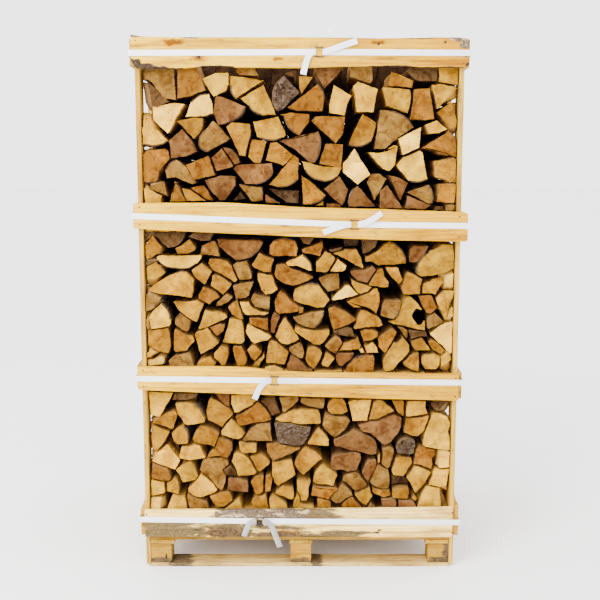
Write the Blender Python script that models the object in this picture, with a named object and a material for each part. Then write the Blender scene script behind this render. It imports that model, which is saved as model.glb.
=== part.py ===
"""Pallet of split ash firewood: three rows of logs in a tall open crate of pale boards.

Metres, +Z up. The crate's front looks along -Y, its left side is at -X. The origin is on the
ground, under the middle of the pallet.
"""

import math
import bpy
import bmesh
from mathutils import Vector

# Driving sizes
MM = 0.001
GAP = 0.0003

PALLET_HALF_WIDTH = 0.588
PALLET_HALF_DEPTH = 0.4996
PALLET_CENTRE_X = 0.0045
SKID_THICKNESS = 0.016
SKID_WIDTH = 0.090
BLOCK_HEIGHT = 0.078
BLOCK_LENGTH = 0.081
BLOCK_DEPTH = 0.085
RAIL_THICKNESS = 0.0165
RAIL_WIDTH = 0.094
DECK_THICKNESS = 0.0165
DECK_BOARD_COUNT = 6
DECK_BOARD_WIDTH = 0.146

POST_THICKNESS = 0.0175
POST_WIDTH = 0.090
POST_INNER_X = 0.5892
POST_TOP_Z = 2.022
CORNER_POST_FOOT_Z = 0.010
INNER_POST_FOOT_Z = 0.099
INNER_POST_Y = 0.165

BOARD_THICKNESS = 0.0197
SIDE_BOARD_THICKNESS = 0.0177
SIDE_BOARD_BOW = 0.005
BOW_STEPS = 3
BACK_BOARD_END_X = 612
LEVELS = 4

LOG_LENGTH = 0.3285
ROW_HALF_DEPTH = 0.4985
ROW_FOOT_Z = 0.1285
ROW_CORE_HALF_WIDTH = 0.574
ROW_CORE_TOP_Z = 1.895
RELIEF_DEPTH = 0.030
DEEP_RECESS = 0.024
RECESS_RANGE = 0.014
RECESS_WAVES = (37.0, 61.0)
ROW_SET_BACK = 0.002
LOG_SEAT = 0.010
CORE_MARGIN = 0.003
LARGE_LOG_AREA = 0.0080
LARGE_LOG_CORNERS = 5
SMALL_LOG_CORNERS = 4
FRONT_LOG_LEAST_AREA = 0.0018
BACK_LOG_LEAST_AREA = 0.0052
HIDDEN_END_X = 0.585
HIDDEN_GAP = 0.002
HIDDEN_LEAN = 0.009
HIDDEN_LEAN_STEP = 2.1

STRAP_WIDTH = 0.022
STRAP_THICKNESS = 0.001
STRAP_STAND_OFF = 0.0004
STRAP_FRONT_CHAMFER = 0.0015
STRAP_BACK_CHAMFER = 0.005
STRAP_CORNER_MARGIN = 0.004
STRAP_TAIL_LIFT = 0.004
WIRE_RADIUS = 0.002
BUCKLE_WIDTH = 0.030
BUCKLE_HEIGHT = 0.032
BUCKLE_CORNER_RADIUS = 0.0025
WIRE_SIDES = 6

# Heights worked out from the thicknesses
BLOCK_FOOT_Z = SKID_THICKNESS + GAP
BLOCK_TOP_Z = BLOCK_FOOT_Z + BLOCK_HEIGHT - GAP
RAIL_FOOT_Z = BLOCK_TOP_Z + GAP
DECK_FOOT_Z = RAIL_FOOT_Z + RAIL_THICKNESS + GAP
POST_OUTER_X = POST_INNER_X + POST_THICKNESS
FRONT_BOARD_BACK_Y = -PALLET_HALF_DEPTH - 2 * GAP
FRONT_BOARD_FACE_Y = FRONT_BOARD_BACK_Y - BOARD_THICKNESS
SIDE_BOARD_INNER_X = POST_OUTER_X + GAP
SIDE_BOARD_OUTER_X = SIDE_BOARD_INNER_X + SIDE_BOARD_THICKNESS

# Depths worked out in front of the front boards: the strap's middle, the buckle wire and the tails
STRAP_OFF = STRAP_STAND_OFF + STRAP_THICKNESS / 2
STRAP_FACE_Y = FRONT_BOARD_FACE_Y - STRAP_OFF
WIRE_TURN_RADIUS = WIRE_RADIUS + GAP + STRAP_THICKNESS / 2
WIRE_Y = STRAP_FACE_Y - WIRE_TURN_RADIUS
TAIL_Y = WIRE_Y - WIRE_TURN_RADIUS

# Front boards, from the top one down: the outline of each in mm, x and z, round from the lower left
FRONT_BOARDS = (
    ((-616, 1951), (-600, 1926), (-560, 1924), (-440, 1923), (-370, 1930), (-300, 1933), (-230, 1928),
     (0, 1926), (150, 1931), (300, 1933), (450, 1930), (600, 1927), (619, 1936), (619, 2033), (560, 2037),
     (300, 2033), (0, 2038), (-300, 2037), (-560, 2039), (-592, 2043), (-616, 2048)),
    ((-618, 1341), (-560, 1335), (-300, 1323), (0, 1309), (300, 1297), (621, 1289), (629, 1296),
     (630, 1392), (621, 1402), (300, 1413), (0, 1421), (-287, 1438), (-618, 1435)),
    ((-620, 721), (-400, 711), (-180, 703), (0, 696), (300, 686), (609, 678), (609, 784),
     (300, 787), (0, 790), (-110, 797), (-200, 810), (-340, 813), (-620, 812)),
    ((-606, 131), (-300, 128), (0, 130), (300, 128), (598, 129), (598, 250), (300, 246),
     (0, 243), (-300, 241), (-606, 240)),
)
# Left and right edges of the side boards at each level in mm: foot and top height
LEFT_BOARDS = ((1934, 2034), (1337, 1433), (721, 814), (131, 239))
RIGHT_BOARDS = ((1929, 2032), (1290, 1399), (680, 785), (129, 252))
# Back boards at each level in mm: foot and top height at the left and at the right end
BACK_BOARDS = (
    ((1931, 2033), (1929, 2029)),
    ((1336, 1434), (1292, 1398)),
    ((719, 815), (682, 786)),
    ((130, 236), (128, 250)),
)

# Straps, from the top one down: height at the left side, at the buckle and at the right side, the
# buckle's x, and the two tails as x, z points in mm from the buckle's wires outward
STRAPS = (
    (1980, 1983, 1980, 72,
     ((48, 1982), (38, 1976), (28, 1958), (20, 1932), (13, 1903)),
     ((98, 1985), (120, 1992), (150, 2003), (180, 2013), (209, 2022))),
    (1387, 1355, 1350, 205,
     ((182, 1355), (160, 1351), (135, 1343), (110, 1334), (88, 1326)),
     ((228, 1357), (246, 1362), (264, 1371), (284, 1383), (305, 1399))),
    (766, 759, 750, -96,
     ((-119, 759), (-132, 754), (-146, 741), (-160, 718), (-172, 688)),
     ((-74, 759), (-56, 759), (-40, 759), (-22, 758), (-6, 758))),
    (203, 196, 191, -157,
     ((-180, 197), (-190, 192), (-200, 180), (-209, 160), (-217, 138)),
     ((-134, 197), (-121, 191), (-108, 175), (-94, 140), (-77, 94))),
)
# How far out each strap turns its corners at the front: at the left and at the right
STRAP_CORNERS = ((0.6255, 0.6255), (0.6255, 0.6315), (0.6255, 0.6255), (0.6255, 0.6255))
# A cut strap end that stands up behind the top board: foot x, foot z, top x and top z in mm
STRAP_END = (84, 1950, 113, 2068)

# Log ends seen from the front in mm, x and z. A first letter D marks a log that is pushed back
LOG_OUTLINES = """
- -578,1912 -520,1930 -508,1956 -468,1962 -462,1928 -458,1815 -500,1818
- -568,1890 -502,1822 -482,1808 -530,1788 -546,1796
- -450,1925 -447,1958 -392,1966 -378,1925 -346,1850 -400,1828 -453,1818
- -360,1892 -310,1912 -262,1913 -262,1872 -270,1847 -300,1834 -318,1824
- -425,1752 -405,1806 -336,1838 -324,1800 -320,1767 -362,1754
- -546,1790 -460,1804 -426,1800 -462,1744 -482,1702 -492,1692 -543,1740
- -580,1755 -554,1745 -537,1712 -490,1664 -586,1652 -587,1700
- -460,1737 -440,1742 -400,1750 -360,1749 -360,1720 -374,1692 -395,1671 -438,1719
- -488,1665 -438,1708 -400,1665 -384,1624 -430,1607 -480,1600
- -586,1618 -560,1630 -500,1636 -490,1625 -485,1600 -527,1552 -532,1517 -586,1512
- -503,1557 -462,1596 -422,1565 -402,1531 -390,1510 -402,1504 -465,1530 -498,1525
- -426,1577 -342,1611 -332,1590 -318,1537 -396,1519
- -570,1493 -525,1512 -507,1512 -494,1458
- -586,1490 -560,1483 -517,1462 -522,1432 -580,1432
- -466,1516 -427,1440 -488,1438
- -443,1490 -412,1483 -352,1442 -426,1440
- -410,1491 -380,1498 -360,1498 -342,1475 -327,1442 -348,1445
- -322,1740 -300,1720 -260,1673 -277,1660 -330,1634 -345,1622 -379,1650 -348,1710
- -312,1830 -290,1828 -199,1790 -262,1732 -302,1724 -320,1768
- -236,1915 -230,1930 -214,1958 -178,1952 -167,1930 -152,1902 -220,1904
- -256,1901 -215,1897 -132,1885 -142,1879 -238,1817 -256,1868
- -134,1870 -100,1795 -87,1760 -140,1760 -193,1796 -220,1820
- -57,1903 -103,1825 -84,1772 -61,1782 0,1842
- -173,1735 -80,1753 -50,1686 -60,1677 -158,1678
- -273,1715 -255,1733 -184,1727 -182,1690 -205,1607 -225,1611
- -178,1672 -122,1664 -147,1582 -170,1584 -193,1607
- -110,1658 -85,1660 -22,1611 -62,1572 -80,1582 -128,1592
- -330,1602 -292,1639 -247,1570 -312,1553
- -288,1642 -270,1640 -222,1583 -243,1575
- -246,1561 -235,1576 -102,1583 -98,1547 -160,1503 -203,1506
- -22,1613 -2,1598 -5,1521 -80,1493 -116,1502
- -358,1520 -300,1535 -240,1533 -240,1500 -282,1442 -300,1442 -343,1490
- -228,1503 -140,1492 -137,1442 -180,1439
D -120,1488 -2,1479 -2,1431 -50,1433
- -128,1466 -76,1432 -128,1434
D -224,1476 -204,1447 -253,1442
- -73,1762 -35,1769 38,1763 36,1735 -2,1684 -10,1688 -60,1757
- -45,1787 68,1874 91,1810 86,1773 -10,1775
- -3,1901 50,1898 8,1836 -3,1865
- -53,1911 -14,1923 -14,1895
- 50,1929 62,1962 140,1968 163,1929 92,1855
- 185,1929 190,1950 262,1956 268,1929 270,1886 260,1874 215,1888 187,1897
- 126,1868 110,1800 110,1767 168,1757 178,1800 195,1830
- 197,1866 215,1881 290,1854 274,1770 212,1769 205,1830
- 44,1738 60,1756 168,1753 163,1690 135,1653
- 234,1764 286,1731 276,1680 265,1661 182,1648 197,1690
- -76,1665 70,1701 57,1583 40,1583 -20,1635
- 97,1655 163,1653 156,1562 72,1579
- 7,1591 90,1571 158,1566 143,1532 80,1516 17,1560
- 205,1636 266,1540 218,1503 162,1549 162,1580
- 7,1537 40,1514 98,1462 45,1428 12,1428
- 150,1533 184,1483 170,1440 158,1421 90,1485
- 220,1498 288,1420 184,1420 202,1485
- 267,1539 300,1543 328,1525 282,1442 254,1510
- 257,1622 318,1628 352,1650 367,1645 356,1575 335,1553 312,1559
- 300,1778 330,1776 424,1715 350,1662 318,1634 280,1634
- 307,1861 410,1853 413,1820 403,1765 322,1792
- 327,1864 338,1918 420,1884 415,1858
- 396,1921 430,1950 505,1955 510,1929 510,1882 470,1882 402,1912
- 513,1929 516,1958 578,1961 586,1929 586,1867 515,1880
- 486,1868 515,1873 586,1858 510,1780
- 424,1853 480,1858 500,1745 470,1740 412,1742
- 510,1769 565,1807 586,1740 583,1715 562,1707
- 467,1725 510,1740 550,1707 520,1694 480,1690
- 368,1674 405,1693 453,1716 446,1640 387,1613
- 361,1575 389,1604 450,1630 460,1620 480,1522 410,1516
- 454,1638 555,1703 586,1655 586,1604 480,1634
- 504,1591 584,1598 586,1570 586,1507 507,1532
- 527,1505 586,1504 586,1461 579,1434 514,1437
- 335,1538 373,1530 407,1510 380,1443
- 302,1478 330,1500 390,1414 304,1414
- 406,1473 485,1503 500,1432 485,1430
- 399,1414 406,1463 496,1426 470,1410
- 512,1421 540,1423 546,1405 507,1405
- 548,1425 585,1426 585,1405 552,1405
- 60,1424 90,1443 90,1424
- 101,1432 155,1427 155,1414 101,1416
- -555,1313 -519,1265 -537,1247 -562,1225 -580,1221 -586,1245 -586,1276
- -586,1318 -562,1322 -586,1290
- -546,1314 -540,1325 -437,1325 -438,1302 -500,1264 -519,1281
- -422,1307 -400,1325 -327,1325 -340,1293 -373,1292
- -472,1262 -448,1274 -419,1298 -406,1282 -393,1264 -399,1252 -425,1243 -464,1242
- -371,1273 -330,1291 -320,1290 -308,1262 -303,1232 -379,1240
- -312,1299 -300,1296 -152,1294 -138,1285 -212,1221 -242,1218 -306,1269
- -544,1231 -524,1238 -497,1232 -421,1236 -374,1236 -375,1224 -388,1206 -472,1186 -541,1219
- -582,1193 -545,1212 -509,1170 -518,1163 -548,1144 -580,1143
- -585,1216 -556,1220 -550,1215 -584,1199
- -575,1107 -545,1131 -497,1159 -466,1172 -431,1176 -401,1143 -408,1077 -421,1075 -455,1082 -500,1086 -531,1090 -571,1099
- -586,1089 -526,1077 -554,1036 -586,1020
- -526,1055 -492,990 -491,974 -500,965 -568,953 -576,998 -563,1021
- -583,947 -504,957 -497,930 -494,886 -504,858 -545,867 -566,877 -584,889
- -587,992 -579,985 -581,966 -587,963
- -586,860 -565,870 -549,863 -568,849 -586,840
- -586,833 -548,838 -528,846 -518,833 -527,815 -586,806
- -482,1060 -435,1058 -388,1064 -365,1052 -391,984 -398,981 -435,1004 -461,1027
- -478,985 -459,1011 -435,998 -419,985 -423,949 -432,940 -453,949 -478,970
- -484,932 -478,952 -455,940 -435,927 -410,923 -404,904 -422,884 -433,868 -476,863 -484,873
- -506,828 -480,848 -427,860 -416,838 -408,806 -500,806
- -411,1180 -373,1207 -357,1192 -333,1174 -357,1128 -363,1127 -390,1146 -405,1162
- -385,1085 -369,1115 -352,1111 -318,1096 -305,1075 -324,1065 -344,1049 -366,1060 -385,1071
- -350,1205 -343,1222 -306,1222 -272,1210 -259,1195 -238,1141 -248,1133 -282,1155 -306,1169 -327,1178
- -331,1160 -304,1158 -258,1125 -269,1108 -292,1085 -318,1106 -339,1119
- -316,1055 -277,1092 -255,1075 -273,1057 -301,1043 -320,1042
- -389,956 -362,1028 -335,1019 -306,1019 -280,1008 -277,996 -288,987 -306,983 -335,969 -365,955 -385,953
- -402,933 -386,944 -354,957 -333,927 -311,897 -332,880 -381,853 -388,871 -398,915
- -345,959 -306,974 -286,969 -292,944 -307,932 -317,924
- -329,857 -306,884 -284,881 -274,877 -274,850 -287,812 -300,812 -329,846
- -395,818 -370,836 -344,843 -320,818 -330,802 -390,802
- -254,1198 -239,1209 -203,1214 -187,1178 -182,1147 -230,1140
- -254,1119 -229,1128 -174,1135 -194,1082 -205,1073 -243,1069
- -182,1200 -153,1246 -122,1230 -98,1221 -110,1174 -136,1173 -173,1189
- -116,1240 -113,1275 -101,1292 -17,1292 -6,1264 -12,1232 -100,1234
- -161,1168 -104,1160 -95,1130 -83,1105 -101,1093 -130,1085 -146,1103 -161,1143
- -187,1066 -175,1087 -160,1083 -134,1075 -113,1075 -115,1026 -170,1038 -183,1054
- -275,1037 -253,1055 -238,1060 -224,1025 -215,992 -225,990 -255,1007
- -229,1059 -194,1058 -179,1032 -150,1020 -118,1015 -136,1006 -208,1008 -217,1018
- -96,1052 -84,1087 -72,1098 -51,1082 -26,1056 -3,1039 -4,1020 -46,1013 -80,1010 -94,1026
- -25,1082 -17,1107 8,1120 69,1125 90,1098 115,1065 96,1039 64,1034 -6,1054 -22,1064
- -96,1165 -91,1200 -55,1202 -39,1189 0,1174 30,1162 52,1150 30,1138 0,1126 -25,1119 -60,1130 -86,1145
- -53,1207 -29,1219 -1,1231 12,1239 49,1177 37,1176 16,1185 -6,1195 -45,1195
- 0,1304 58,1304 37,1278 14,1281
- 7,1256 37,1269 87,1290 89,1268 76,1234 13,1247
- 64,1208 80,1230 97,1251 119,1242 137,1225 125,1203 110,1177 99,1171 63,1172
- 145,1222 158,1210 178,1197 174,1183 163,1176 117,1176 132,1201
- 128,1244 144,1250 171,1257 218,1260 232,1230 244,1194 239,1185 185,1215 154,1230
- 110,1256 163,1266 150,1256 122,1249
D 166,1300 227,1300 222,1268 171,1267
D 236,1299 298,1299 288,1268 264,1249 240,1242
- 250,1230 271,1238 304,1258 322,1280 343,1290 403,1225 405,1204 346,1198 315,1200 300,1197 275,1212 251,1211
- 194,1173 220,1179 254,1183 280,1194 290,1182 274,1155 258,1129 220,1140 197,1161
- 196,1147 220,1132 257,1121 274,1114 261,1096 232,1087 218,1097 201,1122
- 122,1065 147,1097 176,1121 190,1121 204,1105 224,1087 199,1080 160,1068 131,1063
- 180,1056 199,1067 233,1078 262,1090 282,1108 297,1110 305,1090 307,1064 302,1034 294,1010 275,1025 244,1035 206,1037
- 74,1144 102,1161 148,1168 153,1137 151,1110 130,1101 108,1095 88,1119
- 108,1027 114,1033 134,1035 178,1018 217,990 214,983 171,963 129,950 118,982
- -26,998 -4,1001 16,1012 78,1021 94,1022 55,955 22,960 -6,974 -18,986
- -3,1036 16,1032 13,1018 -3,1013
- -4,958 37,948 61,945 114,948 115,933 96,902 78,889 57,890 20,914 -6,932 -20,946 -16,956
- 128,941 182,959 202,952 214,922 186,922 150,930
- 97,887 120,914 144,926 156,915 165,899 149,871 137,857 117,869
- 150,867 171,895 216,911 224,923 236,889 230,874 186,868
- 234,943 254,949 282,950 302,937 301,923 281,913 245,902
- 250,882 281,902 297,881 304,860 259,859
- 229,871 243,877 251,860 235,860
- 174,782 187,813 247,848 284,848 289,830 286,782
- 139,844 148,858 210,858 203,840 181,822 165,807 151,811 142,827
- 84,817 101,856 112,855 136,837 122,816 110,803 93,807
- 22,838 31,876 54,884 70,877 88,860 75,824 56,796 34,811
- -42,876 -22,888 -1,898 12,884 18,858 12,837 -2,840 -25,853 -41,866
- -51,799 -36,846 -22,846 0,831 12,818 35,792 30,780 -50,780
- -92,922 -79,964 -64,989 -53,995 -27,954 -3,914 -16,903 -46,891 -70,897
- -113,985 -106,999 -97,1016 -75,1000 -87,968 -97,936 -110,942
- -193,998 -123,993 -122,948 -166,963 -192,974
- -206,943 -200,973 -184,966 -149,947 -125,934 -108,922 -120,911 -150,903 -174,897 -187,905
- -295,902 -282,944 -269,992 -248,992 -222,985 -215,955 -212,904 -223,895 -279,897
- -258,871 -255,883 -223,885 -210,858 -202,831 -212,808 -238,808 -251,840
- -202,870 -189,884 -175,890 -161,877 -146,860 -158,843 -174,827 -187,840
- -176,816 -153,838 -138,855 -133,843 -145,826 -156,808 -178,808
- -129,826 -126,863 -118,902 -108,910 -82,896 -41,861 -51,833 -57,813 -101,817 -128,819
- -134,797 -115,808 -98,810 -64,792 -70,776 -130,776
- 418,1231 421,1261 432,1272 490,1272 482,1256 442,1210 419,1208
- 442,1166 491,1252 525,1266 540,1279 582,1279 586,1226 586,1188 560,1172 505,1158 460,1156
- 553,1120 561,1156 586,1167 586,1114 554,1116
- 468,1109 473,1128 497,1135 505,1145 552,1154 544,1130 530,1104 518,1085 504,1090 469,1091
- 388,1112 398,1141 405,1162 413,1171 436,1163 466,1147 459,1121 459,1089 396,1087
- 329,1190 374,1191 382,1168 393,1143 377,1126 354,1149 334,1176
- 264,1123 279,1151 297,1180 317,1185 323,1157 341,1133 337,1115 306,1114 286,1119
- 311,1006 318,1050 327,1062 388,1061 385,1030 361,993 333,998
- 393,1050 406,1071 417,1080 426,1077 458,1044 470,1028 450,1036 441,1028 432,1006 440,985 457,966 470,968 481,984 481,948 453,949 422,959 398,966 362,969 340,980 364,987 380,1008
- 452,1080 503,1083 525,1036 499,1014 485,1017 468,1044
- 520,1072 538,1094 551,1106 586,1101 583,1074 570,1040 560,992 554,992 538,1026 524,1053
- 568,1000 573,1030 580,1040 587,1034 587,1000
- 501,935 522,955 556,975 583,982 587,977 586,859 581,856 541,893 502,930
- 488,957 488,988 499,1006 518,1016 534,1001 552,983 525,965 495,953
- 421,937 424,948 486,939 491,923 463,922 427,911
- 376,961 397,958 413,947 411,915 396,935
- 429,905 441,909 469,917 481,905 496,883 503,870 448,868 434,885
- 494,900 508,910 532,899 558,870 549,852 533,857 509,873 499,887
- 469,838 480,851 519,857 539,845 538,813 525,798 482,798 468,820
- 398,820 421,845 436,857 458,860 459,786 432,795 405,810
- 545,827 548,846 567,859 582,847 584,834 560,815 547,808
- 322,818 331,847 348,878 361,899 377,897 399,918 422,891 423,866 410,848 383,822 361,793 331,786 322,800
- 303,914 325,933 360,951 374,940 356,904 337,868 327,859 304,883
- 208,958 221,989 226,1010 235,1027 254,1025 278,1011 302,997 311,989 319,969 304,963 247,958 214,953
- -586,706 -490,702 -502,673 -545,606 -579,613
- -484,703 -394,700 -402,682 -435,674 -492,675
- -481,663 -435,665 -408,657 -369,608 -368,586 -435,576 -446,581 -475,624
- -345,682 -319,670 -272,637 -257,616 -279,595 -303,564 -331,581 -358,593 -363,630 -355,667
- -330,700 -273,697 -271,646 -290,652 -311,675
- -265,694 -164,694 -164,675 -184,653 -240,625 -252,624 -266,660
- -150,669 -115,689 -100,687 -77,623 -108,609 -127,645
- -250,605 -218,623 -186,643 -162,665 -132,640 -111,604 -110,594 -130,587 -170,583 -232,569 -243,583
- -79,685 -7,686 -4,671 -21,654 -57,625 -66,628
- -95,596 -66,614 -25,633 5,636 70,631 80,616 84,583 77,577 2,575 -36,585 -79,587
- -99,578 -74,584 -36,580 -1,571 44,561 41,541 15,499 0,492 -22,491 -82,504 -92,537
- -265,597 -241,573 -213,538 -227,521 -243,515 -257,517 -281,526 -305,532 -306,548 -286,575
- -221,511 -206,537 -188,558 -166,575 -142,580 -114,580 -113,551 -108,509 -190,510
- -236,506 -218,502 -170,499 -168,469 -172,466 -218,461 -234,478
- -132,497 -98,499 -77,496 -25,485 2,484 0,474 -30,460 -74,439 -107,429 -125,460
- -194,445 -160,457 -134,446 -116,423 -121,412 -157,385 -164,386 -183,423
- -266,427 -259,457 -247,463 -222,455 -203,443 -188,418 -168,381 -177,374 -206,367 -243,368 -249,390
- -298,392 -272,408 -256,388 -249,371 -284,371
- -316,522 -306,519 -278,512 -264,501 -262,478 -272,455 -284,442 -307,450 -331,477 -321,503
- -417,520 -405,551 -386,570 -359,564 -325,547 -313,537 -324,508 -333,487 -341,493 -390,500 -411,510
- -498,541 -490,549 -474,563 -451,573 -435,508 -439,498 -474,495 -493,507
- -575,583 -540,606 -514,623 -484,629 -475,614 -489,567 -497,554 -512,561 -555,577
- -573,560 -569,570 -540,560 -505,546 -522,516 -533,500 -557,469 -573,475 -578,530
- -579,428 -565,451 -538,475 -518,496 -508,484 -479,446 -467,430 -488,393 -510,401 -555,416
- -579,367 -575,398 -566,413 -548,406 -516,402 -509,375 -501,362 -512,350 -528,348 -575,360
- -583,352 -531,341 -531,312 -529,298 -576,286 -584,287
- -523,340 -504,347 -490,357 -479,348 -473,316 -477,290 -497,298 -521,303
- -584,278 -543,280 -549,232 -586,227
- -499,292 -476,284 -454,282 -447,261 -442,227 -524,227 -508,272
- -470,447 -462,487 -435,487 -407,496 -391,493 -375,458 -369,444 -390,440 -428,435 -462,439
- -484,391 -462,411 -437,427 -423,426 -409,396 -399,366 -408,353 -435,346 -458,342 -466,361
- -439,314 -413,341 -385,375 -360,354 -337,332 -323,309 -335,298 -387,279 -410,284 -436,301
- -393,392 -384,422 -375,436 -331,439 -302,444 -286,433 -278,416 -304,391 -290,368 -292,337 -304,308 -312,305 -358,363 -388,386
- -358,448 -341,473 -328,474 -307,461 -302,451
- -444,286 -439,296 -411,277 -390,268 -367,260 -356,227 -433,227
- -353,284 -333,292 -294,301 -274,299 -264,266 -272,258 -300,240 -330,240 -350,272
- -295,232 -260,259 -240,273 -234,262 -224,227 -290,227
- -285,309 -280,358 -236,355 -205,344 -201,330 -202,300 -253,304
- -193,340 -174,365 -141,366 -143,301 -160,289 -175,294 -183,318
- -134,365 -114,370 -107,354 -113,307 -135,303
- -191,259 -173,283 -160,281 -133,292 -127,268 -120,227 -175,227
- -121,276 -106,293 -75,276 -52,257 -44,227 -114,227
- -96,298 -68,326 -24,318 -21,296 -24,274 -35,272 -61,283
- -109,420 -80,423 -50,430 -31,430 -27,412 -15,372 -64,339 -84,324 -97,338 -109,371
- -20,415 -3,454 13,478 26,488 40,477 67,462 89,437 70,423 46,401 16,370 0,384 -11,396
- 32,499 51,533 70,556 78,560 95,543 112,520 114,491 80,493
- 89,572 94,592 101,620 123,611 185,601 198,589 183,561 163,541 140,524 128,527 104,547
- 107,644 116,669 130,681 166,681 179,658 189,628 168,617 127,617 113,628
- 4,663 9,682 97,680 99,660 91,639 73,638 36,647
- 188,667 206,676 278,676 271,634 262,592 205,592 198,627
- 269,596 278,630 288,671 305,678 321,673 345,653 368,631 336,616 305,600
- 359,675 403,674 404,614 401,610 381,626 362,658
- 418,669 489,669 489,644 497,620 456,612 414,608 414,644
D 506,666 572,666 555,651 541,636 510,649
- 479,497 486,540 507,596 513,615 522,623 546,621 573,607 586,582 578,546 586,523 586,473 539,479 491,489
- 405,542 412,578 414,599 457,601 501,610 496,585 486,554 463,527 439,529 416,539
- 226,573 240,576 275,587 305,590 336,604 369,614 398,599 396,564 386,540 356,501 336,488 323,496 303,516 278,537 241,548
- 377,472 383,498 402,514 422,520 451,509 453,492 444,459 432,453 382,461
- 376,437 401,442 438,438 441,420 420,381 407,365 366,370 360,386
- 448,415 455,467 464,487 491,482 530,472 532,454 520,440 521,412 517,390 505,398 477,410
- 543,470 586,465 586,407 557,401 543,405
- 528,402 557,391 586,395 582,354 577,325 546,322 507,331 521,368
- 418,360 437,384 452,407 474,402 514,381 496,342 476,317 458,298 451,301 434,341
- 465,242 479,289 495,321 505,325 551,317 555,278 556,230 467,230
- 273,341 287,375 303,408 312,409 349,389 353,354 351,317 322,313 303,320 282,333
- 319,420 326,447 323,477 349,484 370,475 364,440 353,401 346,395 321,412
- 366,312 388,316 429,317 432,299 425,274 384,273 366,277
D 361,359 406,358 430,338 430,325 363,323
- 288,315 304,311 354,307 358,289 333,279 304,290 295,292 286,301
- 322,270 362,276 376,269 381,260 381,230 327,230
- 389,266 432,265 449,261 460,243 457,230 389,230
- 441,275 453,287 461,278 458,266
- 52,345 58,372 69,395 88,414 97,411 122,390 147,370 138,345 133,328 62,336
- 46,294 51,329 61,326 133,321 151,313 132,298 114,275 68,287 46,290
- -12,350 16,348 43,346 36,323 35,289 28,268 6,265 -1,298 -11,313
- -17,280 -10,296 -1,286 -1,263 16,252 55,249 62,230 -9,230 -26,246 -24,262
- 69,273 80,278 113,267 124,260 121,230 70,230
- 119,272 133,295 149,306 160,323 171,331 185,321 208,296 209,288 184,275 161,255 143,255 128,264
- 165,246 179,262 203,281 211,278 222,262 246,236 240,230 170,230
- 218,289 240,304 261,314 277,319 281,300 288,284 274,264 262,245 248,251 231,271
- 270,234 281,259 302,234
- 168,347 173,365 189,376 213,382 233,373 250,353 265,332 256,320 219,306 203,322 183,339
- 245,378 256,408 272,430 299,434 301,413 284,377 267,345
- 122,413 127,440 141,449 192,456 219,463 238,455 242,437 231,412 224,391 185,384 171,391 140,391 125,400
- 137,488 132,503 135,512 185,536 212,554 233,544 278,521 299,502 302,482 299,455 282,453 226,467 202,470 168,482
- 305,445 314,458 315,425 306,421
D -498,493 -472,489 -477,455
"""
# Logs behind the front boards, where no outline shows: foot and top of each strip in mm, at the left
# and at the right, and how many logs fill it
HIDDEN_STRIPS = (
    ((1328, 1428), (1300, 1402), 11),
    ((710, 806), (684, 778), 11),
    ((131, 224), (131, 224), 11),
)


def clear_scene():
    for item in list(bpy.data.objects):
        bpy.data.objects.remove(item, do_unlink=True)


def make_material(name, colour, roughness, metallic=0.0):
    material = bpy.data.materials.new(name)
    material.use_nodes = True
    shader = material.node_tree.nodes["Principled BSDF"]
    shader.inputs["Base Color"].default_value = (*colour, 1.0)
    shader.inputs["Roughness"].default_value = roughness
    shader.inputs["Metallic"].default_value = metallic
    return material


def add_object(name, mesh, material):
    item = bpy.data.objects.new(name, mesh)
    bpy.context.scene.collection.objects.link(item)
    mesh.materials.append(material)
    return item


def prism_into(shape, corners, low, high, place):
    """Add a prism to a bmesh: corners run round its section, place(a, b, t) gives a point."""
    near = [shape.verts.new(place(a, b, low)) for a, b in corners]
    far = [shape.verts.new(place(a, b, high)) for a, b in corners]
    shape.faces.new(near)
    shape.faces.new(list(reversed(far)))
    for index in range(len(corners)):
        following = (index + 1) % len(corners)
        shape.faces.new((near[index], far[index], far[following], near[following]))


def finish_mesh(name, shape):
    bmesh.ops.recalc_face_normals(shape, faces=shape.faces)
    flat = [face for face in shape.faces if len(face.verts) > 4]
    bmesh.ops.triangulate(shape, faces=flat, ngon_method="EAR_CLIP")
    mesh = bpy.data.meshes.new(name)
    shape.to_mesh(mesh)
    shape.free()
    return mesh


def box(name, low, high, material):
    shape = bmesh.new()
    corners = ((low[0], low[1]), (high[0], low[1]), (high[0], high[1]), (low[0], high[1]))
    prism_into(shape, corners, low[2], high[2], lambda a, b, t: (a, b, t))
    return add_object(name, finish_mesh(name, shape), material)


def plate(name, outline, back_y, front_y, material):
    """A board that faces the front or the back: its outline in x and z, between two depths."""
    shape = bmesh.new()
    corners = [(x * MM, z * MM) for x, z in outline]
    prism_into(shape, corners, back_y, front_y, lambda a, b, t: (a, t, b))
    return add_object(name, finish_mesh(name, shape), material)


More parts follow.
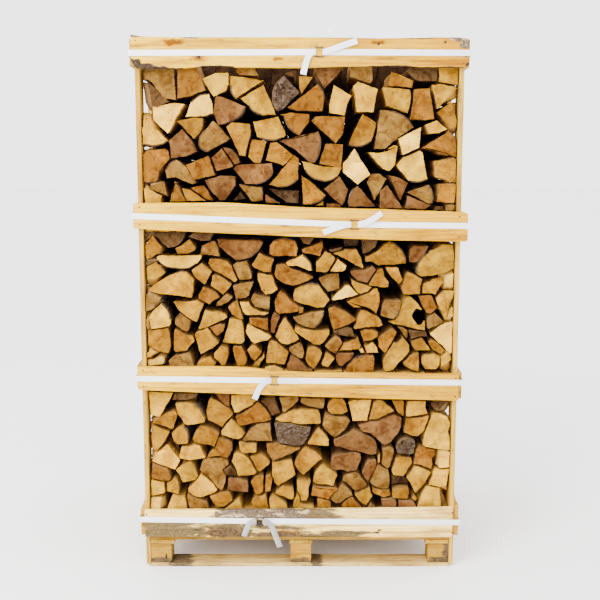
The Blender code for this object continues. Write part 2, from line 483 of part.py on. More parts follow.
def build_pallet(material):
    side_y = PALLET_HALF_DEPTH - SKID_WIDTH / 2
    side_x = PALLET_HALF_WIDTH - BLOCK_LENGTH / 2
    rail_x = PALLET_HALF_WIDTH - RAIL_WIDTH / 2
    rows = (("front", -side_y), ("middle", 0.0), ("back", side_y))
    columns = (("left", -side_x), ("centre", PALLET_CENTRE_X), ("right", side_x))
    for row, y in rows:
        box(f"skid_{row}", (-PALLET_HALF_WIDTH, y - SKID_WIDTH / 2, 0.0),
            (PALLET_HALF_WIDTH, y + SKID_WIDTH / 2, SKID_THICKNESS), material)
        for column, x in columns:
            box(f"block_{row}_{column}", (x - BLOCK_LENGTH / 2, y - BLOCK_DEPTH / 2, BLOCK_FOOT_Z),
                (x + BLOCK_LENGTH / 2, y + BLOCK_DEPTH / 2, BLOCK_TOP_Z), material)
    for column, x in (("left", -rail_x), ("centre", PALLET_CENTRE_X), ("right", rail_x)):
        box(f"rail_{column}", (x - RAIL_WIDTH / 2, -PALLET_HALF_DEPTH, RAIL_FOOT_Z),
            (x + RAIL_WIDTH / 2, PALLET_HALF_DEPTH, RAIL_FOOT_Z + RAIL_THICKNESS), material)
    pitch = (2 * PALLET_HALF_DEPTH - DECK_BOARD_WIDTH) / (DECK_BOARD_COUNT - 1)
    for index in range(DECK_BOARD_COUNT):
        foot_y = -PALLET_HALF_DEPTH + index * pitch
        box(f"deck_board_{index + 1}", (-PALLET_HALF_WIDTH, foot_y, DECK_FOOT_Z),
            (PALLET_HALF_WIDTH, foot_y + DECK_BOARD_WIDTH, DECK_FOOT_Z + DECK_THICKNESS), material)


def build_posts(material):
    corner_y = PALLET_HALF_DEPTH - POST_WIDTH / 2
    places = ((-corner_y, CORNER_POST_FOOT_Z), (-INNER_POST_Y, INNER_POST_FOOT_Z),
              (INNER_POST_Y, INNER_POST_FOOT_Z), (corner_y, CORNER_POST_FOOT_Z))
    for side, sign in (("left", -1), ("right", 1)):
        for number, (y, foot_z) in enumerate(places, start=1):
            near, far = sorted((sign * POST_INNER_X, sign * POST_OUTER_X))
            box(f"post_{side}_{number}", (near, y - POST_WIDTH / 2, foot_z),
                (far, y + POST_WIDTH / 2, POST_TOP_Z), material)


def side_bow(y):
    """How far a side board stands off its posts, most in the middle of its length."""
    return SIDE_BOARD_BOW * max(0.0, 1.0 - (y / PALLET_HALF_DEPTH) ** 2)


def side_board(name, sign, foot_z, top_z, material):
    steps = [PALLET_HALF_DEPTH * index / BOW_STEPS for index in range(-BOW_STEPS, BOW_STEPS + 1)]
    inner = [(sign * (SIDE_BOARD_INNER_X + side_bow(y)), y) for y in steps]
    outer = [(sign * (SIDE_BOARD_OUTER_X + side_bow(y)), y) for y in reversed(steps)]
    shape = bmesh.new()
    prism_into(shape, inner + outer, foot_z * MM, top_z * MM, lambda a, b, t: (a, b, t))
    return add_object(name, finish_mesh(name, shape), material)


def build_boards(material):
    for level in range(LEVELS):
        number = level + 1
        plate(f"front_board_{number}", FRONT_BOARDS[level], FRONT_BOARD_BACK_Y, FRONT_BOARD_FACE_Y,
              material)
        side_board(f"left_board_{number}", -1, *LEFT_BOARDS[level], material)
        side_board(f"right_board_{number}", 1, *RIGHT_BOARDS[level], material)
        left, right = BACK_BOARDS[level]
        outline = ((-BACK_BOARD_END_X, left[0]), (BACK_BOARD_END_X, right[0]),
                   (BACK_BOARD_END_X, right[1]), (-BACK_BOARD_END_X, left[1]))
        plate(f"back_board_{number}", outline, -FRONT_BOARD_BACK_Y, -FRONT_BOARD_FACE_Y, material)


def polygon_area(corners):
    total = 0.0
    for (ax, az), (bx, bz) in zip(corners, corners[1:] + corners[:1]):
        total += ax * bz - bx * az
    return abs(total) / 2


def centre_of(corners):
    count = len(corners)
    return sum(x for x, _ in corners) / count, sum(z for _, z in corners) / count


def simplify(corners):
    """Drop the corners that change an outline least, and leave a small log with fewer of them."""
    most = LARGE_LOG_CORNERS if polygon_area(corners) > LARGE_LOG_AREA else SMALL_LOG_CORNERS
    corners = list(corners)
    while len(corners) > most:
        losses = []
        for index in range(len(corners)):
            before, after = corners[index - 1], corners[(index + 1) % len(corners)]
            losses.append(polygon_area([before, corners[index], after]))
        corners.pop(losses.index(min(losses)))
    return corners


def read_logs():
    """The log outlines in metres, each with whether it is pushed back."""
    logs = []
    for line in LOG_OUTLINES.strip().splitlines():
        words = line.split()
        corners = [tuple(float(value) * MM for value in word.split(",")) for word in words[1:]]
        logs.append((words[0] == "D", corners))
    return logs


def hidden_logs():
    """Four-sided log outlines that fill the strips behind the front boards."""
    logs = []
    for (left_foot, left_top), (right_foot, right_top), count in HIDDEN_STRIPS:
        edges = []
        for index in range(count + 1):
            lean = HIDDEN_LEAN * math.sin(HIDDEN_LEAN_STEP * index + left_foot)
            inside = 0 < index < count
            edges.append((HIDDEN_END_X * (2 * index / count - 1), lean if inside else 0.0))
        for index in range(count):
            (near_x, near_lean), (far_x, far_lean) = edges[index], edges[index + 1]
            part = (index + 0.5) / count
            foot = (left_foot + (right_foot - left_foot) * part) * MM
            top = (left_top + (right_top - left_top) * part) * MM
            near_x += HIDDEN_GAP
            far_x -= HIDDEN_GAP
            logs.append((False, [(near_x - near_lean, foot), (far_x - far_lean, foot),
                                 (far_x + far_lean, top), (near_x + near_lean, top)]))
    return logs


def log_recess(corners, pushed_back):
    x, z = centre_of(corners)
    if pushed_back:
        return DEEP_RECESS
    return RECESS_RANGE * abs(math.sin(RECESS_WAVES[0] * x + RECESS_WAVES[1] * z))


def reaches_out(corners):
    """Whether a log shows past the core of its row, at a side or at the top."""
    widest = max(abs(x) for x, _ in corners)
    highest = max(z for _, z in corners)
    return widest > ROW_CORE_HALF_WIDTH or highest > ROW_CORE_TOP_Z


def reaches_in(corners):
    """Whether a log reaches into the core of its row, so that the two join."""
    nearest = min(abs(x) for x, _ in corners)
    lowest = min(z for _, z in corners)
    return nearest < ROW_CORE_HALF_WIDTH - CORE_MARGIN and lowest < ROW_CORE_TOP_Z - CORE_MARGIN


def union_into(item, other):
    cut = item.modifiers.new("union", "BOOLEAN")
    cut.operation = "UNION"
    cut.solver = "EXACT"
    cut.use_self = True
    cut.object = other
    other.hide_render = True
    other.display_type = "WIRE"


def build_row(name, low_y, high_y, logs, face, material):
    """One row of logs as a solid: a core, the outer logs at full length, and the ends in relief.

    face is -1 for ends that show in front, 1 for ends that show at the back, 0 for a hidden row.
    """
    core_low = low_y + (RELIEF_DEPTH if face < 0 else ROW_SET_BACK)
    core_high = high_y - (RELIEF_DEPTH if face > 0 else ROW_SET_BACK)
    core = box(name, (-ROW_CORE_HALF_WIDTH, core_low, ROW_FOOT_Z),
               (ROW_CORE_HALF_WIDTH, core_high, ROW_CORE_TOP_Z), material)
    shape = bmesh.new()
    for pushed_back, corners in logs:
        recess = log_recess(corners, pushed_back)
        outer = reaches_out(corners)
        if face == 0 and not outer:
            continue
        start = low_y + (recess if face < 0 else 0.0)
        end = high_y - (recess if face > 0 else 0.0)
        if not outer and face < 0:
            end = core_low + LOG_SEAT
        if not outer and face > 0:
            start = core_high - LOG_SEAT
        prism_into(shape, corners, start, end, lambda a, b, t: (a, t, b))
    ends = add_object(f"{name}_log_shapes", finish_mesh(f"{name}_log_shapes", shape), material)
    union_into(core, ends)
    return core


def build_firewood(material):
    read = read_logs()
    front = [(pushed, simplify(corners)) for pushed, corners in read
             if polygon_area(corners) > FRONT_LOG_LEAST_AREA and reaches_in(corners)]
    hidden = hidden_logs()
    mirrored = [(pushed, simplify([(-x, z) for x, z in corners]))
                for pushed, corners in read
                if polygon_area(corners) > BACK_LOG_LEAST_AREA and reaches_in(corners)]
    build_row("firewood_front_row", -ROW_HALF_DEPTH, -ROW_HALF_DEPTH + LOG_LENGTH, front + hidden, -1,
              material)
    build_row("firewood_middle_row", -LOG_LENGTH / 2, LOG_LENGTH / 2, mirrored, 0, material)
    build_row("firewood_back_row", ROW_HALF_DEPTH - LOG_LENGTH, ROW_HALF_DEPTH, mirrored + hidden, 1,
              material)


def tail_route(points, wire_x, height):
    """A tail's centre points from the buckle outward, each with the direction of its width."""
    spots = [Vector((x * MM, TAIL_Y - STRAP_TAIL_LIFT * index / len(points), z * MM))
             for index, (x, z) in enumerate(points, start=1)]
    before = [Vector((wire_x, TAIL_Y, height))] + spots[:-1]
    after = spots[1:] + [2 * spots[-1] - spots[-2]]
    route = []
    last_across = Vector((0, 0, 1))
    for spot, last, following in zip(spots, before, after):
        along = following - last
        along.y = 0.0
        across = Vector((along.z, 0, -along.x)).normalized()
        last_across = across if across.dot(last_across) > 0 else -across
        route.append((spot, last_across))
    return route


def wire_turn(wire_x, sign, height):
    """The half turn that a strap takes round a wire of its buckle, from the tail to the board."""
    turn = []
    for degrees in (-90, -45, 0, 45, 90):
        angle = math.radians(degrees)
        turn.append((Vector((wire_x + sign * WIRE_TURN_RADIUS * math.cos(angle),
                             WIRE_Y + WIRE_TURN_RADIUS * math.sin(angle), height)), Vector((0, 0, 1))))
    return turn


def side_places(corner):
    """The strap's way from a corner at the front along the right side to the back, as x and y."""
    corner_x = corner + STRAP_OFF
    side_x = SIDE_BOARD_OUTER_X + STRAP_OFF
    places = [(corner_x - STRAP_FRONT_CHAMFER, STRAP_FACE_Y),
              (corner_x, STRAP_FACE_Y + STRAP_FRONT_CHAMFER),
              (corner_x, FRONT_BOARD_BACK_Y + STRAP_CORNER_MARGIN)]
    for index in range(1 - BOW_STEPS, BOW_STEPS):
        y = PALLET_HALF_DEPTH * index / BOW_STEPS
        places.append((side_x + side_bow(y), y))
    places += [(side_x, PALLET_HALF_DEPTH - STRAP_CORNER_MARGIN),
               (side_x, -STRAP_FACE_Y - STRAP_BACK_CHAMFER),
               (side_x - STRAP_BACK_CHAMFER, -STRAP_FACE_Y)]
    return places


def ring_route(left_z, right_z, corners):
    """The strap's way round the crate from the front's left edge by the back to its right edge."""
    side_x = SIDE_BOARD_OUTER_X + STRAP_OFF
    left_corner, right_corner = corners
    places = [(-x, y) for x, y in side_places(left_corner)]
    places += reversed(side_places(right_corner))
    route = []
    for x, y in places:
        part = min(max(x / (2 * side_x) + 0.5, 0.0), 1.0)
        height = (left_z + (right_z - left_z) * part) * MM
        route.append((Vector((x, y, height)), Vector((0, 0, 1))))
    return route


def strap_route(strap, corners):
    """Centre points of a strap with the direction of its width, from one tail's end to the other's."""
    left_z, buckle_z, right_z, buckle_x, left_tail, right_tail = strap
    height = buckle_z * MM
    left_wire = buckle_x * MM - BUCKLE_WIDTH / 2
    right_wire = buckle_x * MM + BUCKLE_WIDTH / 2
    route = list(reversed(tail_route(left_tail, left_wire, height)))
    route += wire_turn(left_wire, 1, height)
    route += ring_route(left_z, right_z, corners)
    route += reversed(wire_turn(right_wire, -1, height))
    route += tail_route(right_tail, right_wire, height)
    return route


def ribbon(name, route, material):
    """A flat band swept along a route of centre points, its ends closed."""
    shape = bmesh.new()
    sections = []
    for index, (spot, across) in enumerate(route):
        last = route[max(index - 1, 0)][0]
        following = route[min(index + 1, len(route) - 1)][0]
        along = (following - last).normalized()
        out = along.cross(across).normalized() * (STRAP_THICKNESS / 2)
        wide = across * (STRAP_WIDTH / 2)
        sections.append([shape.verts.new(spot + wide * a + out * b)
                         for a, b in ((-1, -1), (1, -1), (1, 1), (-1, 1))])
    shape.faces.new(sections[0])
    shape.faces.new(list(reversed(sections[-1])))
    for near, far in zip(sections, sections[1:]):
        for side in range(4):
            following = (side + 1) % 4
            shape.faces.new((near[side], far[side], far[following], near[following]))
    return add_object(name, finish_mesh(name, shape), material)


def buckle(name, strap, material):
    """A buckle bent from one round wire, closed to a rectangle with small round corners."""
    centre = Vector((strap[3] * MM, WIRE_Y, strap[1] * MM))
    stations = []
    for quarter, (sign_x, sign_z) in enumerate(((1, 1), (-1, 1), (-1, -1), (1, -1))):
        corner_x = sign_x * (BUCKLE_WIDTH / 2 - BUCKLE_CORNER_RADIUS)
        corner_z = sign_z * (BUCKLE_HEIGHT / 2 - BUCKLE_CORNER_RADIUS)
        for step in range(3):
            angle = math.radians(90 * quarter + 45 * step)
            out = Vector((math.cos(angle), 0, math.sin(angle)))
            stations.append((centre + Vector((corner_x, 0, corner_z)) + out * BUCKLE_CORNER_RADIUS, out))
    shape = bmesh.new()
    rings = []
    for spot, out in stations:
        ring = []
        for side in range(WIRE_SIDES):
            angle = 2 * math.pi * side / WIRE_SIDES
            offset = out * math.cos(angle) + Vector((0, 1, 0)) * math.sin(angle)
            ring.append(shape.verts.new(spot + offset * WIRE_RADIUS))
        rings.append(ring)
    for near, far in zip(rings, rings[1:] + rings[:1]):
        for side in range(WIRE_SIDES):
            following = (side + 1) % WIRE_SIDES
            shape.faces.new((near[side], far[side], far[following], near[following]))
    item = add_object(name, finish_mesh(name, shape), material)
    item.data.shade_smooth()
    return item


def build_straps(strap_material, wire_material):
    for number, strap in enumerate(STRAPS, start=1):
        ribbon(f"strap_{number}", strap_route(strap, STRAP_CORNERS[number - 1]), strap_material)
        buckle(f"buckle_{number}", strap, wire_material)
    foot_x, foot_z, top_x, top_z = (value * MM for value in STRAP_END)
    end_y = -PALLET_HALF_DEPTH + STRAP_THICKNESS / 2
    foot = Vector((foot_x, end_y, foot_z))
    top = Vector((top_x, end_y, top_z))
    along = (top - foot).normalized()
    across = Vector((along.z, 0, -along.x))
    ribbon("strap_end", [(foot, across), (top, across)], strap_material)


def main():
    clear_scene()
    board = make_material("pale_board", (0.80, 0.62, 0.36), 0.75)
    pallet = make_material("pallet_wood", (0.72, 0.56, 0.34), 0.80)
    firewood = make_material("split_ash", (0.72, 0.47, 0.22), 0.80)
    strap = make_material("woven_strap", (0.90, 0.90, 0.88), 0.60)
    wire = make_material("galvanised_wire", (0.42, 0.42, 0.42), 0.40, 1.0)
    build_pallet(pallet)
    build_posts(board)
    build_boards(board)
    build_firewood(firewood)
    build_straps(strap, wire)


main()
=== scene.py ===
"""A pallet of split ash firewood, dressed for its portrait.

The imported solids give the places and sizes. Every log is cut here as a shape of its own, the
boards are rough sawn with knots and bark, and the straps and wire buckles get their weave and
their dull zinc. Metres, +Z up, the front looks along -Y.
"""

import math
import random

import bmesh
import bpy
import numpy as np
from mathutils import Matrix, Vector, noise


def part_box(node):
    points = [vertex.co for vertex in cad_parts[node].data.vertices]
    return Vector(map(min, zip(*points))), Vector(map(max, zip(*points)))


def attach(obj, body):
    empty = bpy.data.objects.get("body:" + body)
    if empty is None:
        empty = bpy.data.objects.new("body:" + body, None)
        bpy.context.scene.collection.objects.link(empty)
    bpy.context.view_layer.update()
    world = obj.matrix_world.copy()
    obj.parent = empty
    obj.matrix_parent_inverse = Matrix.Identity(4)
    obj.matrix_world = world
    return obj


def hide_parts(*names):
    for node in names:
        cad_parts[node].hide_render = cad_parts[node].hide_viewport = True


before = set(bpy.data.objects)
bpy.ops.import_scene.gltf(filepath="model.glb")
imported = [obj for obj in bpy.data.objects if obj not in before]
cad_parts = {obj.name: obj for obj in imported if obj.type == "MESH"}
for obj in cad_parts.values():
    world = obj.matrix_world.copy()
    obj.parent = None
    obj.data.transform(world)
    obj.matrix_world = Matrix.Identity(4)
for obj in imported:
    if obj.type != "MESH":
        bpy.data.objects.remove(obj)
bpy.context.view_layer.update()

bl_info = {
    "name": "Firewood pallet",
    "version": (1, 0, 0),
    "blender": (4, 5, 0),
    "location": "3D View > Sidebar > Firewood",
    "description": "Stacks split ash logs in a crate of pale boards and binds it with straps",
    "category": "Object",
}

MM = 0.001
BODY = "root"

# Where the rows of logs lie, from front to back
LOG_LENGTH = 0.3285
ROW_HALF_DEPTH = 0.4985
OUTER_LOG_X = 0.560
OUTER_LOG_Z = 1.880
PUSHED_BACK = 0.050
RECESS_RANGE = 0.014
RECESS_WAVES = (37.0, 61.0)
ROW_CLEARANCE = 0.0005

# Tones that the logs of the back and the middle row are dealt; the middle row's near-black tones are painted shade, as
# it lies deep in the stack
BACK_TONES = "CSSHHHOOBT"
MIDDLE_TONES = "MMMKMM"

# For each row: its columns, each one piece, the spacing of the points round a log, and the shares of a
# log's length where it has a ring of points, for logs inside the stack and for those at its outside, the
# tones that its logs are dealt, and how crooked they are
INNER_SHARES = (0.08, 0.5, 0.95)
OUTER_SHARES = (0.04, 0.12, 0.2, 0.3, 0.4, 0.5, 0.6, 0.7, 0.8, 0.9, 0.97)
FRONT_ROW_LOOK = (7, 0.006, INNER_SHARES, OUTER_SHARES, None, 1.0)
MIDDLE_ROW_LOOK = (3, 0.014, (0.05, 0.95), OUTER_SHARES, MIDDLE_TONES, 0.0)
BACK_ROW_LOOK = (7, 0.008, INNER_SHARES, OUTER_SHARES, BACK_TONES, 1.0)

# How a log is cut
ARC_RISE = 0.14
EDGE_WAVE = 0.012
EDGE_LUMPS = 0.0022
FRAY = 0.0007
DRY_WOOD_SHINE = 0.03
RING_WARP = 0.006
LOG_TAPER = 0.03
# Behind their ends the outer logs grow into the free ground beside the posts: how far, over what share
# of their length, and from what x on
MOST_SWELL = 0.040
SWELL_SHARE = 0.10
SWELL_START_X = 0.51
SWELL_FULL_X = 0.56

# What a face of a log is, as its material reads it
END_GRAIN = 0.0
BARK_RIM = 0.6
WORN_EDGE = 0.3
SPLIT_SIDE = 1.0
BARK_SIDE = 2.0

# The tones of the log ends, as linear colours
LOG_TONES = {
    "W": (0.65, 0.385, 0.050),
    "C": (0.48, 0.26, 0.016),
    "S": (0.31, 0.155, 0.008),
    "H": (0.24, 0.108, 0.007),
    "O": (0.18, 0.074, 0.008),
    "B": (0.12, 0.052, 0.014),
    "T": (0.17, 0.086, 0.016),
    # K: painted shade, a darker tone for the logs that lie in the shadow under the boards
    "K": (0.072, 0.038, 0.014),
    # M: painted shade, a near-black tone for the logs of the middle row deep in the stack
    "M": (0.026, 0.013, 0.006),
    # D: painted shade added to the real shade of the logs that stand back from their row's front
    "D": (0.060, 0.033, 0.015),
    "G": (0.052, 0.034, 0.020),
}
# How much darker stain the end of each tone carries
LOG_WEATHER = {"W": 0.12, "C": 0.25, "S": 0.35, "H": 0.5, "O": 0.6, "B": 0.6, "T": 0.6, "K": 0.7, "M": 0.8, "D": 0.8,
               "G": 1.0}
HIDDEN_TONES = "SHTCHO"

